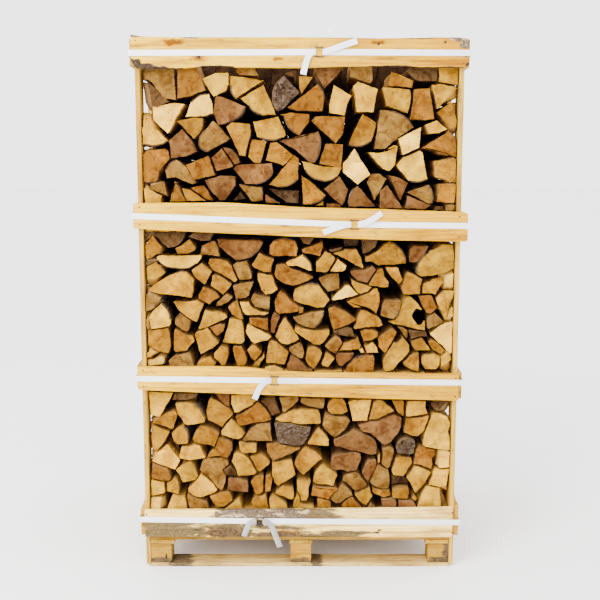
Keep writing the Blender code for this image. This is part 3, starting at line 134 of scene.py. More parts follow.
# Log ends seen from the front in mm, x and z, round each log. The letter is the log's tone, and a ~
# marks a corner that the outline reaches along a round side with bark
LOG_OUTLINES = """
T -578,1912 -520,1930 -508,1956 -468,1962 -462,1928 -458,1815 -500,1818
K -568,1890 -502,1822 -482,1808 -530,1788 -546,1796
O -450,1925 -447,1958 -392,1966 -378,1925 -346,1850 -400,1828 -453,1818
C -360,1892 -310,1912 -262,1913 -262,1872 -270,1847 -300,1834 -318,1824
W -425,1752 -405,1806 ~-336,1838 -324,1800 -320,1767 -362,1754
W -546,1790 -460,1804 -426,1800 -462,1744 -482,1702 -492,1692 -543,1740
C -580,1755 -554,1745 -537,1712 -490,1664 ~-586,1652 -587,1700
H -460,1737 -440,1742 -400,1750 -360,1749 -360,1720 -374,1692 -395,1671 -438,1719
B -488,1665 -438,1708 -400,1665 -384,1624 -430,1607 -480,1600
O -586,1618 -560,1630 -500,1636 -490,1625 -485,1600 -527,1552 -532,1517 ~-586,1512
T -503,1557 ~-462,1596 -422,1565 -402,1531 -390,1510 -402,1504 -465,1530 -498,1525
O -426,1577 -342,1611 -332,1590 -318,1537 -396,1519
T -570,1493 -525,1512 -507,1512 -494,1458
C -586,1490 -560,1483 -517,1462 -522,1432 -580,1432
O -466,1516 -427,1440 -488,1438
S -443,1490 -412,1483 -352,1442 -426,1440
O -410,1491 -380,1498 -360,1498 -342,1475 -327,1442 -348,1445
T -322,1740 -300,1720 -260,1673 -277,1660 -330,1634 -345,1622 ~-379,1650 ~-348,1710
B -312,1830 -290,1828 -199,1790 ~-262,1732 -302,1724 -320,1768
T -236,1915 -230,1930 -214,1958 -178,1952 -167,1930 -152,1902 -220,1904
S -256,1901 -215,1897 -132,1885 -142,1879 -238,1817 ~-256,1868
S -134,1870 -100,1795 -87,1760 -140,1760 ~-193,1796 -220,1820
G -57,1903 ~-103,1825 ~-84,1772 -61,1782 0,1842
S -173,1735 -80,1753 -50,1686 -60,1677 ~-158,1678
H -273,1715 -255,1733 -184,1727 -182,1690 -205,1607 -225,1611
H -178,1672 -122,1664 -147,1582 -170,1584 -193,1607
H -110,1658 -85,1660 -22,1611 -62,1572 -80,1582 -128,1592
B -330,1602 -292,1639 -247,1570 -312,1553
B -288,1642 -270,1640 ~-222,1583 -243,1575
B -246,1561 -235,1576 -102,1583 -98,1547 ~-160,1503 -203,1506
H -22,1613 -2,1598 -5,1521 ~-80,1493 -116,1502
B -358,1520 -300,1535 -240,1533 -240,1500 -282,1442 -300,1442 -343,1490
T -228,1503 -140,1492 -137,1442 -180,1439
D -120,1488 -2,1479 -2,1431 -50,1433
B -128,1466 -76,1432 -128,1434
D -224,1476 -204,1447 -253,1442
O -73,1762 -35,1769 38,1763 36,1735 -2,1684 -10,1688 ~-60,1757
O -45,1787 68,1874 ~91,1810 86,1773 -10,1775
H -3,1901 50,1898 8,1836 -3,1865
K -53,1911 -14,1923 -14,1895
B 50,1929 62,1962 140,1968 163,1929 92,1855
T 185,1929 190,1950 262,1956 268,1929 270,1886 260,1874 215,1888 187,1897
C 126,1868 110,1800 110,1767 168,1757 178,1800 195,1830
C 197,1866 215,1881 290,1854 274,1770 212,1769 205,1830
O 44,1738 60,1756 168,1753 163,1690 135,1653
H 234,1764 286,1731 276,1680 265,1661 ~182,1648 197,1690
B -76,1665 70,1701 ~57,1583 40,1583 -20,1635
O 97,1655 163,1653 156,1562 72,1579
S 7,1591 90,1571 158,1566 143,1532 ~80,1516 ~17,1560
W 205,1636 266,1540 218,1503 162,1549 162,1580
H 7,1537 40,1514 98,1462 ~45,1428 12,1428
B 150,1533 184,1483 170,1440 158,1421 90,1485
B 220,1498 288,1420 184,1420 ~202,1485
T 267,1539 300,1543 328,1525 282,1442 254,1510
C 257,1622 318,1628 352,1650 367,1645 356,1575 335,1553 312,1559
T 300,1778 330,1776 ~424,1715 350,1662 318,1634 280,1634
S 307,1861 410,1853 413,1820 403,1765 322,1792
H 327,1864 338,1918 420,1884 415,1858
K 396,1921 430,1950 505,1955 510,1929 510,1882 470,1882 ~402,1912
S 513,1929 516,1958 578,1961 586,1929 586,1867 515,1880
S 486,1868 515,1873 586,1858 510,1780
O 424,1853 480,1858 500,1745 470,1740 412,1742
H 510,1769 565,1807 586,1740 583,1715 562,1707
C 467,1725 510,1740 550,1707 520,1694 480,1690
W 368,1674 405,1693 453,1716 446,1640 387,1613
C 361,1575 389,1604 450,1630 460,1620 480,1522 ~410,1516
O 454,1638 555,1703 ~586,1655 586,1604 480,1634
H 504,1591 584,1598 586,1570 586,1507 507,1532
H 527,1505 586,1504 586,1461 579,1434 514,1437
B 335,1538 373,1530 407,1510 380,1443
B 302,1478 330,1500 390,1414 304,1414
T 406,1473 485,1503 ~500,1432 485,1430
B 399,1414 406,1463 496,1426 470,1410
K 512,1421 540,1423 546,1405 507,1405
T 548,1425 585,1426 585,1405 552,1405
S 60,1424 90,1443 90,1424
B 101,1432 155,1427 155,1414 101,1416
H -555,1313 -519,1265 -537,1247 -562,1225 -580,1221 -586,1245 -586,1276
K -586,1318 -562,1322 -586,1290
K -546,1314 -540,1325 -437,1325 -438,1302 ~-500,1264 -519,1281
K -422,1307 -400,1325 -327,1325 -340,1293 -373,1292
H -472,1262 -448,1274 -419,1298 -406,1282 -393,1264 -399,1252 -425,1243 -464,1242
T -371,1273 -330,1291 -320,1290 -308,1262 -303,1232 -379,1240
B -312,1299 -300,1296 -152,1294 -138,1285 ~-212,1221 -242,1218 -306,1269
C -544,1231 -524,1238 -497,1232 -421,1236 -374,1236 -375,1224 -388,1206 ~-472,1186 ~-541,1219
S -582,1193 -545,1212 -509,1170 -518,1163 -548,1144 -580,1143
K -585,1216 -556,1220 -550,1215 -584,1199
S -575,1107 -545,1131 -497,1159 -466,1172 ~-431,1176 -401,1143 -408,1077 -421,1075 -455,1082 -500,1086 -531,1090 -571,1099
T -586,1089 -526,1077 ~-554,1036 -586,1020
C -526,1055 ~-492,990 -491,974 -500,965 -568,953 -576,998 -563,1021
H -583,947 -504,957 -497,930 -494,886 -504,858 -545,867 -566,877 -584,889
S -587,992 -579,985 -581,966 -587,963
C -586,860 -565,870 -549,863 -568,849 -586,840
W -586,833 -548,838 -528,846 -518,833 -527,815 -586,806
S -482,1060 -435,1058 -388,1064 -365,1052 -391,984 -398,981 -435,1004 -461,1027
T -478,985 ~-459,1011 -435,998 -419,985 -423,949 -432,940 -453,949 -478,970
H -484,932 -478,952 -455,940 -435,927 -410,923 -404,904 -422,884 -433,868 -476,863 -484,873
T -506,828 -480,848 -427,860 -416,838 -408,806 -500,806
H -411,1180 -373,1207 -357,1192 -333,1174 -357,1128 -363,1127 -390,1146 -405,1162
O -385,1085 -369,1115 -352,1111 -318,1096 -305,1075 -324,1065 -344,1049 -366,1060 -385,1071
H -350,1205 -343,1222 -306,1222 -272,1210 -259,1195 -238,1141 -248,1133 -282,1155 -306,1169 -327,1178
H -331,1160 -304,1158 -258,1125 -269,1108 -292,1085 -318,1106 -339,1119
T -316,1055 -277,1092 -255,1075 -273,1057 -301,1043 -320,1042
S -389,956 -362,1028 -335,1019 -306,1019 -280,1008 -277,996 -288,987 -306,983 -335,969 -365,955 -385,953
S -402,933 -386,944 -354,957 -333,927 -311,897 -332,880 -381,853 -388,871 -398,915
O -345,959 -306,974 -286,969 -292,944 -307,932 -317,924
S -329,857 -306,884 -284,881 -274,877 -274,850 -287,812 -300,812 -329,846
S -395,818 -370,836 -344,843 -320,818 -330,802 -390,802
T -254,1198 -239,1209 -203,1214 -187,1178 -182,1147 -230,1140
T -254,1119 -229,1128 -174,1135 -194,1082 -205,1073 -243,1069
H -182,1200 -153,1246 -122,1230 -98,1221 -110,1174 -136,1173 -173,1189
O -116,1240 -113,1275 -101,1292 ~-17,1292 -6,1264 -12,1232 -100,1234
S -161,1168 -104,1160 -95,1130 -83,1105 -101,1093 -130,1085 -146,1103 -161,1143
T -187,1066 -175,1087 -160,1083 -134,1075 -113,1075 -115,1026 -170,1038 -183,1054
H -275,1037 -253,1055 -238,1060 -224,1025 -215,992 -225,990 -255,1007
C -229,1059 -194,1058 -179,1032 -150,1020 -118,1015 -136,1006 -208,1008 -217,1018
O -96,1052 -84,1087 -72,1098 -51,1082 -26,1056 -3,1039 -4,1020 -46,1013 -80,1010 -94,1026
S -25,1082 -17,1107 8,1120 ~69,1125 90,1098 115,1065 96,1039 64,1034 -6,1054 -22,1064
O -96,1165 -91,1200 -55,1202 -39,1189 0,1174 30,1162 52,1150 30,1138 0,1126 -25,1119 -60,1130 -86,1145
C -53,1207 -29,1219 -1,1231 12,1239 ~49,1177 37,1176 16,1185 -6,1195 -45,1195
K 0,1304 58,1304 37,1278 14,1281
O 7,1256 37,1269 87,1290 89,1268 76,1234 13,1247
S 64,1208 80,1230 97,1251 119,1242 137,1225 125,1203 110,1177 99,1171 63,1172
C 145,1222 158,1210 178,1197 174,1183 163,1176 117,1176 132,1201
H 128,1244 144,1250 171,1257 218,1260 232,1230 244,1194 239,1185 185,1215 154,1230
K 110,1256 163,1266 150,1256 122,1249
D 166,1300 227,1300 222,1268 171,1267
K 236,1299 298,1299 288,1268 264,1249 240,1242
H 250,1230 271,1238 304,1258 322,1280 343,1290 ~403,1225 405,1204 346,1198 315,1200 300,1197 275,1212 251,1211
B 194,1173 220,1179 254,1183 280,1194 290,1182 274,1155 258,1129 220,1140 197,1161
S 196,1147 220,1132 257,1121 274,1114 261,1096 232,1087 218,1097 201,1122
W 122,1065 147,1097 176,1121 190,1121 204,1105 224,1087 199,1080 160,1068 131,1063
H 180,1056 199,1067 233,1078 262,1090 282,1108 297,1110 305,1090 307,1064 302,1034 294,1010 275,1025 244,1035 206,1037
T 74,1144 102,1161 148,1168 153,1137 151,1110 130,1101 108,1095 88,1119
O 108,1027 114,1033 134,1035 178,1018 217,990 214,983 171,963 129,950 118,982
T -26,998 -4,1001 16,1012 78,1021 94,1022 ~55,955 22,960 -6,974 -18,986
O -3,1036 16,1032 13,1018 -3,1013
S -4,958 37,948 61,945 114,948 115,933 96,902 78,889 57,890 20,914 -6,932 -20,946 -16,956
K 128,941 182,959 202,952 214,922 186,922 150,930
T 97,887 120,914 144,926 156,915 165,899 149,871 137,857 117,869
H 150,867 171,895 216,911 224,923 236,889 230,874 186,868
H 234,943 254,949 282,950 302,937 301,923 281,913 245,902
C 250,882 281,902 297,881 304,860 259,859
W 229,871 243,877 251,860 235,860
O 174,782 187,813 ~247,848 284,848 289,830 286,782
B 139,844 148,858 210,858 203,840 181,822 165,807 151,811 142,827
S 84,817 101,856 112,855 136,837 122,816 110,803 93,807
H 22,838 31,876 54,884 70,877 88,860 75,824 56,796 34,811
T -42,876 -22,888 -1,898 12,884 18,858 12,837 -2,840 -25,853 -41,866
B -51,799 -36,846 -22,846 0,831 12,818 35,792 30,780 -50,780
S -92,922 -79,964 -64,989 -53,995 -27,954 -3,914 -16,903 -46,891 -70,897
B -113,985 -106,999 -97,1016 -75,1000 -87,968 -97,936 -110,942
O -193,998 -123,993 -122,948 -166,963 -192,974
C -206,943 -200,973 -184,966 -149,947 -125,934 -108,922 -120,911 -150,903 -174,897 -187,905
S -295,902 -282,944 -269,992 -248,992 -222,985 -215,955 -212,904 -223,895 -279,897
H -258,871 -255,883 -223,885 -210,858 -202,831 -212,808 -238,808 -251,840
H -202,870 -189,884 -175,890 -161,877 -146,860 -158,843 -174,827 -187,840
S -176,816 -153,838 -138,855 -133,843 -145,826 -156,808 -178,808
H -129,826 -126,863 -118,902 -108,910 -82,896 -41,861 -51,833 -57,813 -101,817 -128,819
C -134,797 -115,808 -98,810 -64,792 -70,776 -130,776
B 418,1231 421,1261 432,1272 490,1272 482,1256 ~442,1210 419,1208
S 442,1166 ~491,1252 525,1266 540,1279 582,1279 586,1226 586,1188 560,1172 505,1158 460,1156
W 553,1120 561,1156 586,1167 586,1114 554,1116
S 468,1109 473,1128 497,1135 505,1145 552,1154 544,1130 530,1104 518,1085 504,1090 469,1091
H 388,1112 398,1141 405,1162 413,1171 436,1163 466,1147 459,1121 459,1089 396,1087
S 329,1190 374,1191 382,1168 393,1143 377,1126 354,1149 334,1176
H 264,1123 279,1151 297,1180 317,1185 323,1157 341,1133 337,1115 306,1114 286,1119
T 311,1006 318,1050 327,1062 388,1061 385,1030 ~361,993 333,998
S 393,1050 406,1071 417,1080 426,1077 458,1044 470,1028 450,1036 441,1028 432,1006 440,985 457,966 470,968 481,984 481,948 453,949 422,959 398,966 362,969 340,980 364,987 380,1008
O 452,1080 503,1083 525,1036 499,1014 485,1017 468,1044
S 520,1072 538,1094 551,1106 586,1101 583,1074 570,1040 560,992 554,992 538,1026 524,1053
W 568,1000 573,1030 580,1040 587,1034 587,1000
W 501,935 522,955 556,975 583,982 587,977 586,859 581,856 541,893 502,930
T 488,957 488,988 499,1006 518,1016 534,1001 552,983 525,965 495,953
K 421,937 424,948 486,939 491,923 463,922 427,911
T 376,961 397,958 413,947 411,915 396,935
H 429,905 441,909 469,917 481,905 496,883 503,870 448,868 434,885
H 494,900 508,910 532,899 558,870 549,852 533,857 509,873 499,887
S 469,838 480,851 519,857 539,845 538,813 525,798 482,798 468,820
H 398,820 421,845 436,857 458,860 459,786 432,795 405,810
C 545,827 548,846 567,859 582,847 584,834 560,815 547,808
S 322,818 331,847 348,878 361,899 377,897 399,918 422,891 423,866 410,848 383,822 361,793 331,786 322,800
H 303,914 325,933 360,951 374,940 356,904 337,868 327,859 304,883
H 208,958 221,989 226,1010 235,1027 254,1025 278,1011 302,997 311,989 319,969 304,963 247,958 214,953
C -586,706 -490,702 -502,673 -545,606 -579,613
K -484,703 -394,700 -402,682 -435,674 -492,675
S -481,663 -435,665 -408,657 ~-369,608 -368,586 -435,576 -446,581 -475,624
H -345,682 -319,670 -272,637 -257,616 -279,595 -303,564 -331,581 -358,593 -363,630 -355,667
B -330,700 -273,697 -271,646 -290,652 -311,675
S -265,694 -164,694 -164,675 -184,653 -240,625 -252,624 -266,660
K -150,669 -115,689 -100,687 -77,623 -108,609 -127,645
O -250,605 -218,623 -186,643 -162,665 -132,640 -111,604 -110,594 -130,587 -170,583 -232,569 -243,583
T -79,685 -7,686 -4,671 -21,654 -57,625 -66,628
S -95,596 -66,614 -25,633 5,636 70,631 80,616 84,583 77,577 2,575 -36,585 -79,587
G -99,578 -74,584 -36,580 -1,571 44,561 41,541 15,499 0,492 -22,491 -82,504 -92,537
S -265,597 -241,573 -213,538 -227,521 -243,515 -257,517 -281,526 -305,532 -306,548 -286,575
T -221,511 -206,537 -188,558 -166,575 -142,580 -114,580 -113,551 -108,509 -190,510
S -236,506 -218,502 -170,499 -168,469 -172,466 -218,461 -234,478
T -132,497 -98,499 -77,496 -25,485 2,484 0,474 -30,460 -74,439 -107,429 -125,460
H -194,445 -160,457 -134,446 -116,423 -121,412 -157,385 -164,386 -183,423
S -266,427 -259,457 -247,463 -222,455 -203,443 -188,418 -168,381 -177,374 -206,367 -243,368 -249,390
K -298,392 -272,408 -256,388 -249,371 -284,371
O -316,522 -306,519 -278,512 -264,501 -262,478 -272,455 -284,442 -307,450 -331,477 -321,503
H -417,520 -405,551 -386,570 -359,564 -325,547 -313,537 -324,508 -333,487 -341,493 -390,500 -411,510
S -498,541 -490,549 -474,563 -451,573 ~-435,508 -439,498 -474,495 -493,507
H -575,583 -540,606 -514,623 -484,629 -475,614 -489,567 -497,554 -512,561 -555,577
S -573,560 -569,570 -540,560 -505,546 -522,516 -533,500 -557,469 -573,475 -578,530
C -579,428 -565,451 -538,475 -518,496 -508,484 -479,446 -467,430 -488,393 -510,401 -555,416
O -579,367 -575,398 -566,413 -548,406 -516,402 -509,375 -501,362 -512,350 -528,348 -575,360
C -583,352 -531,341 -531,312 -529,298 -576,286 -584,287
S -523,340 -504,347 -490,357 -479,348 -473,316 -477,290 -497,298 -521,303
W -584,278 -543,280 -549,232 -586,227
C -499,292 -476,284 -454,282 -447,261 -442,227 -524,227 -508,272
C -470,447 -462,487 -435,487 -407,496 -391,493 -375,458 -369,444 -390,440 -428,435 -462,439
S -484,391 -462,411 -437,427 -423,426 -409,396 -399,366 -408,353 -435,346 -458,342 -466,361
C -439,314 -413,341 -385,375 -360,354 -337,332 -323,309 -335,298 -387,279 -410,284 -436,301
T -393,392 -384,422 -375,436 -331,439 -302,444 -286,433 -278,416 -304,391 -290,368 -292,337 -304,308 -312,305 -358,363 -388,386
S -358,448 -341,473 -328,474 -307,461 -302,451
T -444,286 -439,296 -411,277 -390,268 -367,260 -356,227 -433,227
H -353,284 -333,292 -294,301 -274,299 -264,266 -272,258 -300,240 -330,240 -350,272
C -295,232 -260,259 -240,273 -234,262 -224,227 -290,227
B -285,309 -280,358 -236,355 -205,344 -201,330 -202,300 -253,304
H -193,340 -174,365 -141,366 -143,301 -160,289 -175,294 -183,318
H -134,365 -114,370 -107,354 -113,307 -135,303
H -191,259 -173,283 -160,281 -133,292 -127,268 -120,227 -175,227
S -121,276 -106,293 -75,276 -52,257 -44,227 -114,227
S -96,298 -68,326 -24,318 -21,296 -24,274 -35,272 -61,283
S -109,420 -80,423 -50,430 -31,430 -27,412 -15,372 -64,339 -84,324 -97,338 -109,371
H -20,415 -3,454 13,478 26,488 40,477 67,462 89,437 70,423 46,401 16,370 0,384 -11,396
S 32,499 51,533 70,556 78,560 95,543 112,520 114,491 80,493
T 89,572 94,592 101,620 123,611 185,601 198,589 183,561 163,541 140,524 128,527 104,547
H 107,644 116,669 130,681 166,681 179,658 189,628 168,617 127,617 113,628
T 4,663 9,682 97,680 99,660 91,639 73,638 36,647
C 188,667 206,676 278,676 271,634 262,592 205,592 198,627
H 269,596 278,630 288,671 305,678 321,673 345,653 368,631 336,616 305,600
H 359,675 403,674 404,614 401,610 381,626 362,658
C 418,669 489,669 489,644 497,620 456,612 414,608 414,644
K 506,666 572,666 555,651 541,636 510,649
C 479,497 486,540 507,596 513,615 522,623 546,621 573,607 586,582 578,546 586,523 586,473 539,479 491,489
H 405,542 412,578 414,599 457,601 501,610 496,585 486,554 463,527 439,529 416,539
B 226,573 240,576 275,587 305,590 336,604 369,614 398,599 396,564 386,540 356,501 336,488 323,496 303,516 278,537 241,548
G 377,472 383,498 402,514 422,520 451,509 453,492 444,459 432,453 382,461
S 376,437 401,442 438,438 441,420 420,381 407,365 366,370 360,386
O 448,415 455,467 464,487 491,482 530,472 532,454 520,440 521,412 517,390 505,398 477,410
W 543,470 586,465 586,407 557,401 543,405
C 528,402 557,391 586,395 582,354 577,325 546,322 507,331 521,368
S 418,360 437,384 452,407 474,402 514,381 496,342 476,317 458,298 451,301 434,341
C 465,242 479,289 495,321 505,325 551,317 555,278 556,230 467,230
T 273,341 287,375 303,408 312,409 349,389 353,354 351,317 322,313 303,320 282,333
T 319,420 326,447 323,477 349,484 370,475 364,440 353,401 346,395 321,412
H 366,312 388,316 429,317 432,299 425,274 384,273 366,277
D 361,359 406,358 430,338 430,325 363,323
H 288,315 304,311 354,307 358,289 333,279 304,290 295,292 286,301
B 322,270 362,276 376,269 381,260 381,230 327,230
B 389,266 432,265 449,261 460,243 457,230 389,230
S 441,275 453,287 461,278 458,266
S 52,345 58,372 69,395 88,414 97,411 122,390 147,370 138,345 133,328 62,336
O 46,294 51,329 61,326 133,321 151,313 132,298 114,275 68,287 46,290
S -12,350 16,348 43,346 36,323 35,289 28,268 6,265 -1,298 -11,313
S -17,280 -10,296 -1,286 -1,263 16,252 55,249 62,230 -9,230 -26,246 -24,262
H 69,273 80,278 113,267 124,260 121,230 70,230
T 119,272 133,295 149,306 160,323 171,331 185,321 208,296 209,288 184,275 161,255 143,255 128,264
O 165,246 179,262 203,281 211,278 222,262 246,236 240,230 170,230
S 218,289 240,304 261,314 277,319 281,300 288,284 274,264 262,245 248,251 231,271
T 270,234 281,259 302,234
T 168,347 173,365 189,376 213,382 233,373 250,353 265,332 256,320 219,306 203,322 183,339
B 245,378 256,408 272,430 299,434 301,413 284,377 267,345
B 122,413 127,440 141,449 192,456 219,463 238,455 242,437 231,412 224,391 185,384 171,391 140,391 125,400
B 137,488 132,503 135,512 185,536 212,554 233,544 278,521 299,502 302,482 299,455 282,453 226,467 202,470 168,482
S 305,445 314,458 315,425 306,421
D -498,493 -472,489 -477,455
"""
# Logs behind the front boards, where no outline shows: foot and top of each strip in mm, at the left
# and at the right, and how many logs fill it
HIDDEN_STRIPS = (
    ((1328, 1428), (1300, 1402), 11),
    ((710, 806), (684, 778), 11),
    ((131, 224), (131, 224), 11),
)
HIDDEN_END_X = 0.585
# The middle row, packed tight: how far its logs keep apart, and how far a neighbour may be
TIGHT_GAP = 0.0008
NEIGHBOUR_REACH = 0.35
TIGHT_TOP_RISE = 0.036
TIGHT_TOP_DROP = 0.014
HIDDEN_GAP = 0.002
HIDDEN_LEAN = 0.009
HIDDEN_LEAN_STEP = 2.1

# Axes
X, Y, Z = 0, 1, 2

# Boards and posts
LEVELS = 4
POSTS_A_SIDE = 4
FRONT_SPACING = 0.006
BACK_SPACING = 0.009
POST_SPACING = 0.012
# Colours of the front boards at their left and right ends, from the top board down
FRONT_TONES = (
    ((0.84, 0.52, 0.024), (0.54, 0.26, 0.003)),
    ((0.84, 0.51, 0.020), (0.60, 0.30, 0.003)),
    ((0.78, 0.45, 0.012), (0.56, 0.28, 0.003)),
    ((0.98, 0.70, 0.18), (0.98, 0.72, 0.26)),
)
# The wane and grey kinds are real wane and weathering, and some of their marks are painted shade: under a strap, inside
# a buckle, along the lower edge of front_board_1 and beside the pallet's blocks
MARK_KINDS = ("bark", "wane", "stain", "grey")
# Marks on the boards: board, kind, middle along and across the board in mm, and half of its reach
BOARD_MARKS = (
    ("front_board_1", "bark", -598, 2041, 25, 5),
    ("front_board_1", "bark", -393, 2036, 45, 5),
    ("front_board_1", "wane", -606, 1940, 26, 20),
    ("front_board_1", "wane", -572, 1931, 34, 13),
    ("front_board_1", "wane", -525, 1925, 50, 7),
    ("front_board_1", "wane", -430, 1922, 60, 4),
    ("front_board_1", "wane", -541, 2027, 6, 3),
    ("front_board_1", "wane", -368, 1966, 8, 5),
    # These three thin wane marks along the foot of front_board_1 are painted shade under the board's lower edge
    ("front_board_1", "wane", -300, 1931, 75, 4),
    ("front_board_1", "wane", 340, 1932, 90, 3),
    ("front_board_1", "wane", 520, 1928, 90, 3),
    ("front_board_1", "grey", 455, 2036, 55, 5),
    ("front_board_1", "wane", 531, 2019, 6, 5),
    ("front_board_1", "bark", 588, 2030, 40, 9),
    ("front_board_1", "bark", 606, 2013, 22, 17),
    ("front_board_1", "wane", 605, 1969, 16, 3),
    ("front_board_1", "wane", 616, 1936, 9, 9),
    ("front_board_1", "wane", 289, 2012, 6, 4),
    ("front_board_1", "stain", -458, 2018, 40, 14),
    ("front_board_1", "stain", -368, 1964, 36, 12),
    ("front_board_1", "stain", -78, 1959, 20, 7),
    ("front_board_1", "stain", 289, 2018, 25, 7),
    ("front_board_1", "wane", -601, 1934, 16, 9),
    ("front_board_4", "bark", -147, 222, 176, 36),
    ("front_board_4", "grey", -296, 222, 26, 30),
    ("front_board_4", "grey", 66, 221, 70, 24),
    ("front_board_4", "grey", 30, 224, 60, 14),
    ("front_board_4", "grey", -505, 150, 128, 36),
    # Painted shade just under the strap
    ("front_board_4", "grey", -505, 183, 120, 10),
    ("front_board_4", "wane", -404, 158, 16, 3),
    ("front_board_4", "grey", -390, 160, 22, 8),
    ("front_board_4", "grey", -270, 150, 80, 28),
    ("front_board_4", "grey", -90, 138, 110, 14),
    ("front_board_4", "grey", -80, 170, 90, 7),
    ("front_board_4", "grey", 105, 136, 124, 9),
    ("front_board_4", "grey", 200, 150, 90, 5),
    ("front_board_4", "wane", 60, 130, 60, 4),
    ("front_board_4", "wane", 300, 150, 14, 3),
    ("front_board_4", "wane", 314, 158, 9, 3),
    # Painted shade on the board inside buckle 4, between its wires
    ("front_board_4", "wane", -157, 186, 13, 14),
    ("front_board_4", "stain", -300, 150, 90, 24),
    ("front_board_4", "stain", -60, 148, 80, 16),
    ("block_front_left", "grey", -548, 26, 46, 12),
    ("block_front_left", "wane", -527, 42, 3, 13),
    ("block_front_centre", "grey", -8, 22, 40, 9),
    ("block_front_right", "grey", 584, 58, 16, 46),
    ("block_front_right", "grey", 560, 26, 46, 13),
    # Painted shade on the skid's top beside the blocks
    ("skid_front", "grey", -474, -455, 40, 70),
    ("skid_front", "grey", 66, -455, 22, 70),
)

# The pallet's pieces: start of the name, the axes along the grain, across and deep, the spacing of
# their points, and what the pallet's colour is multiplied by
PALLET_PIECES = (
    ("skid", (X, Y, Z), 0.010, (1.35, 1.70, 5.0)),
    ("block", (X, Z, Y), 0.007, (0.95, 0.92, 0.8)),
    ("rail", (Y, X, Z), 0.012, (1.0, 1.0, 1.0)),
    ("deck", (X, Y, Z), 0.014, (1.0, 1.0, 1.0)),
)

# Nails
NAIL_SIDES = 10
NAIL_X = 0.598
NAIL_SUNK = 0.0006
NAIL_SHARES = (0.16, 0.84)

# Straps, from the top one down: height at the left side, at the buckle and at the right side, the
# buckle's x, and the two tails as x, z points in mm from the buckle's wires outward
STRAPS = (
    (1980, 1983, 1980, 72,
     ((48, 1982), (38, 1976), (28, 1958), (20, 1932), (13, 1903)),
     ((98, 1985), (120, 1992), (150, 2003), (180, 2013), (209, 2022))),
    (1387, 1355, 1350, 205,
     ((182, 1355), (160, 1351), (135, 1343), (110, 1334), (88, 1326)),
     ((228, 1357), (246, 1362), (264, 1371), (284, 1383), (305, 1399))),
    (766, 759, 750, -96,
     ((-119, 759), (-132, 754), (-146, 741), (-160, 718), (-172, 688)),
     ((-74, 759), (-56, 759), (-40, 759), (-22, 758), (-6, 758))),
    (203, 196, 191, -157,
     ((-180, 197), (-190, 192), (-200, 180), (-209, 160), (-217, 138)),
     ((-134, 197), (-121, 191), (-108, 175), (-94, 140), (-77, 94))),
)
# How far out each strap turns its corners at the front: at the left and at the right
STRAP_CORNERS = ((0.6255, 0.6255), (0.6255, 0.6315), (0.6255, 0.6255), (0.6255, 0.6255))
# How much darker the tails of each strap are
TAIL_DARKENING = (0.10, 0.15, 0.35, 1.0)
# A cut strap end that stands up behind the top board: foot and top, x and z in mm
STRAP_END = ((84, 1950), (113, 2068))
STRAP_STAND_OFF = 0.0004
STRAP_FRONT_CHAMFER = 0.0015
STRAP_BACK_CHAMFER = 0.005
STRAP_CORNER_MARGIN = 0.004
STRAP_TAIL_LIFT = 0.004
TAIL_STEPS = 6
TURN_STEPS = 8
END_STEPS = 8
RIBBON_SHARES = (-0.96, -0.5, 0.0, 0.5, 0.96)
GAP = 0.0003
SIDE_BOARD_THICKNESS = 0.0177
SIDE_BOARD_BOW = 0.005
BOW_STEPS = 3
BUCKLE_WIDTH = 0.030
BUCKLE_HEIGHT = 0.032
BUCKLE_CORNER_RADIUS = 0.0025
WIRE_SIDES = 12
WIRE_CORNER_STEPS = 5
STRAP_THICKNESS = 0.001
WIRE_RADIUS = 0.002

# Depths in front of the front boards: the strap's middle, the buckle wire and the tails
FRONT_BOARD_FACE_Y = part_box("front_board_1")[0].y
FRONT_BOARD_BACK_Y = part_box("front_board_1")[1].y
STRAP_OFF = STRAP_STAND_OFF + STRAP_THICKNESS / 2
STRAP_FACE_Y = FRONT_BOARD_FACE_Y - STRAP_OFF
WIRE_TURN_RADIUS = WIRE_RADIUS + GAP + STRAP_THICKNESS / 2
WIRE_Y = STRAP_FACE_Y - WIRE_TURN_RADIUS
TAIL_Y = WIRE_Y - WIRE_TURN_RADIUS
STRAP_END_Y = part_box("strap_end")[0].y + STRAP_THICKNESS / 2

FLOOR_SIDES = 64


# Meshes

def solid_mesh(name, points, faces):
    """A closed mesh from points and faces, turned so that its faces look outward."""
    mesh = bpy.data.meshes.new(name)
    mesh.from_pydata([tuple(point) for point in points], [], faces)
    shape = bmesh.new()
    shape.from_mesh(mesh)
    bmesh.ops.recalc_face_normals(shape, faces=shape.faces)
    shape.to_mesh(mesh)
    shape.free()
    return mesh


def mark_points(mesh, name, kind, values):
    """Stores one value for each point of a mesh, for its material to read."""
    attribute = mesh.attributes.new(name, kind, "POINT")
    key = "value" if kind == "FLOAT" else "vector" if kind == "FLOAT_VECTOR" else "color"
    attribute.data.foreach_set(key, np.asarray(values, np.float32).ravel())


def mark_faces(mesh, name, kind, values):
    """Stores one value for each face of a mesh, for its material to read."""
    attribute = mesh.attributes.new(name, kind, "FACE")
    key = "value" if kind == "FLOAT" else "vector" if kind == "FLOAT_VECTOR" else "color"
    attribute.data.foreach_set(key, np.asarray(values, np.float32).ravel())


def add_piece(name, mesh, material, slot, *nodes):
    """Puts a mesh in the scene as a piece that stands for the given solids."""
    item = bpy.data.objects.new(name, mesh)
    bpy.context.scene.collection.objects.link(item)
    mesh.materials.append(material)
    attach(item, BODY)
    if nodes:
        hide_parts(*nodes)
    return item


def smooth_but_sharp(mesh, degrees):
    """Smooth shading with hard edges where the faces meet at more than the angle."""
    mesh.shade_smooth()
    mesh.set_sharp_from_angle(angle=math.radians(degrees))


# Materials

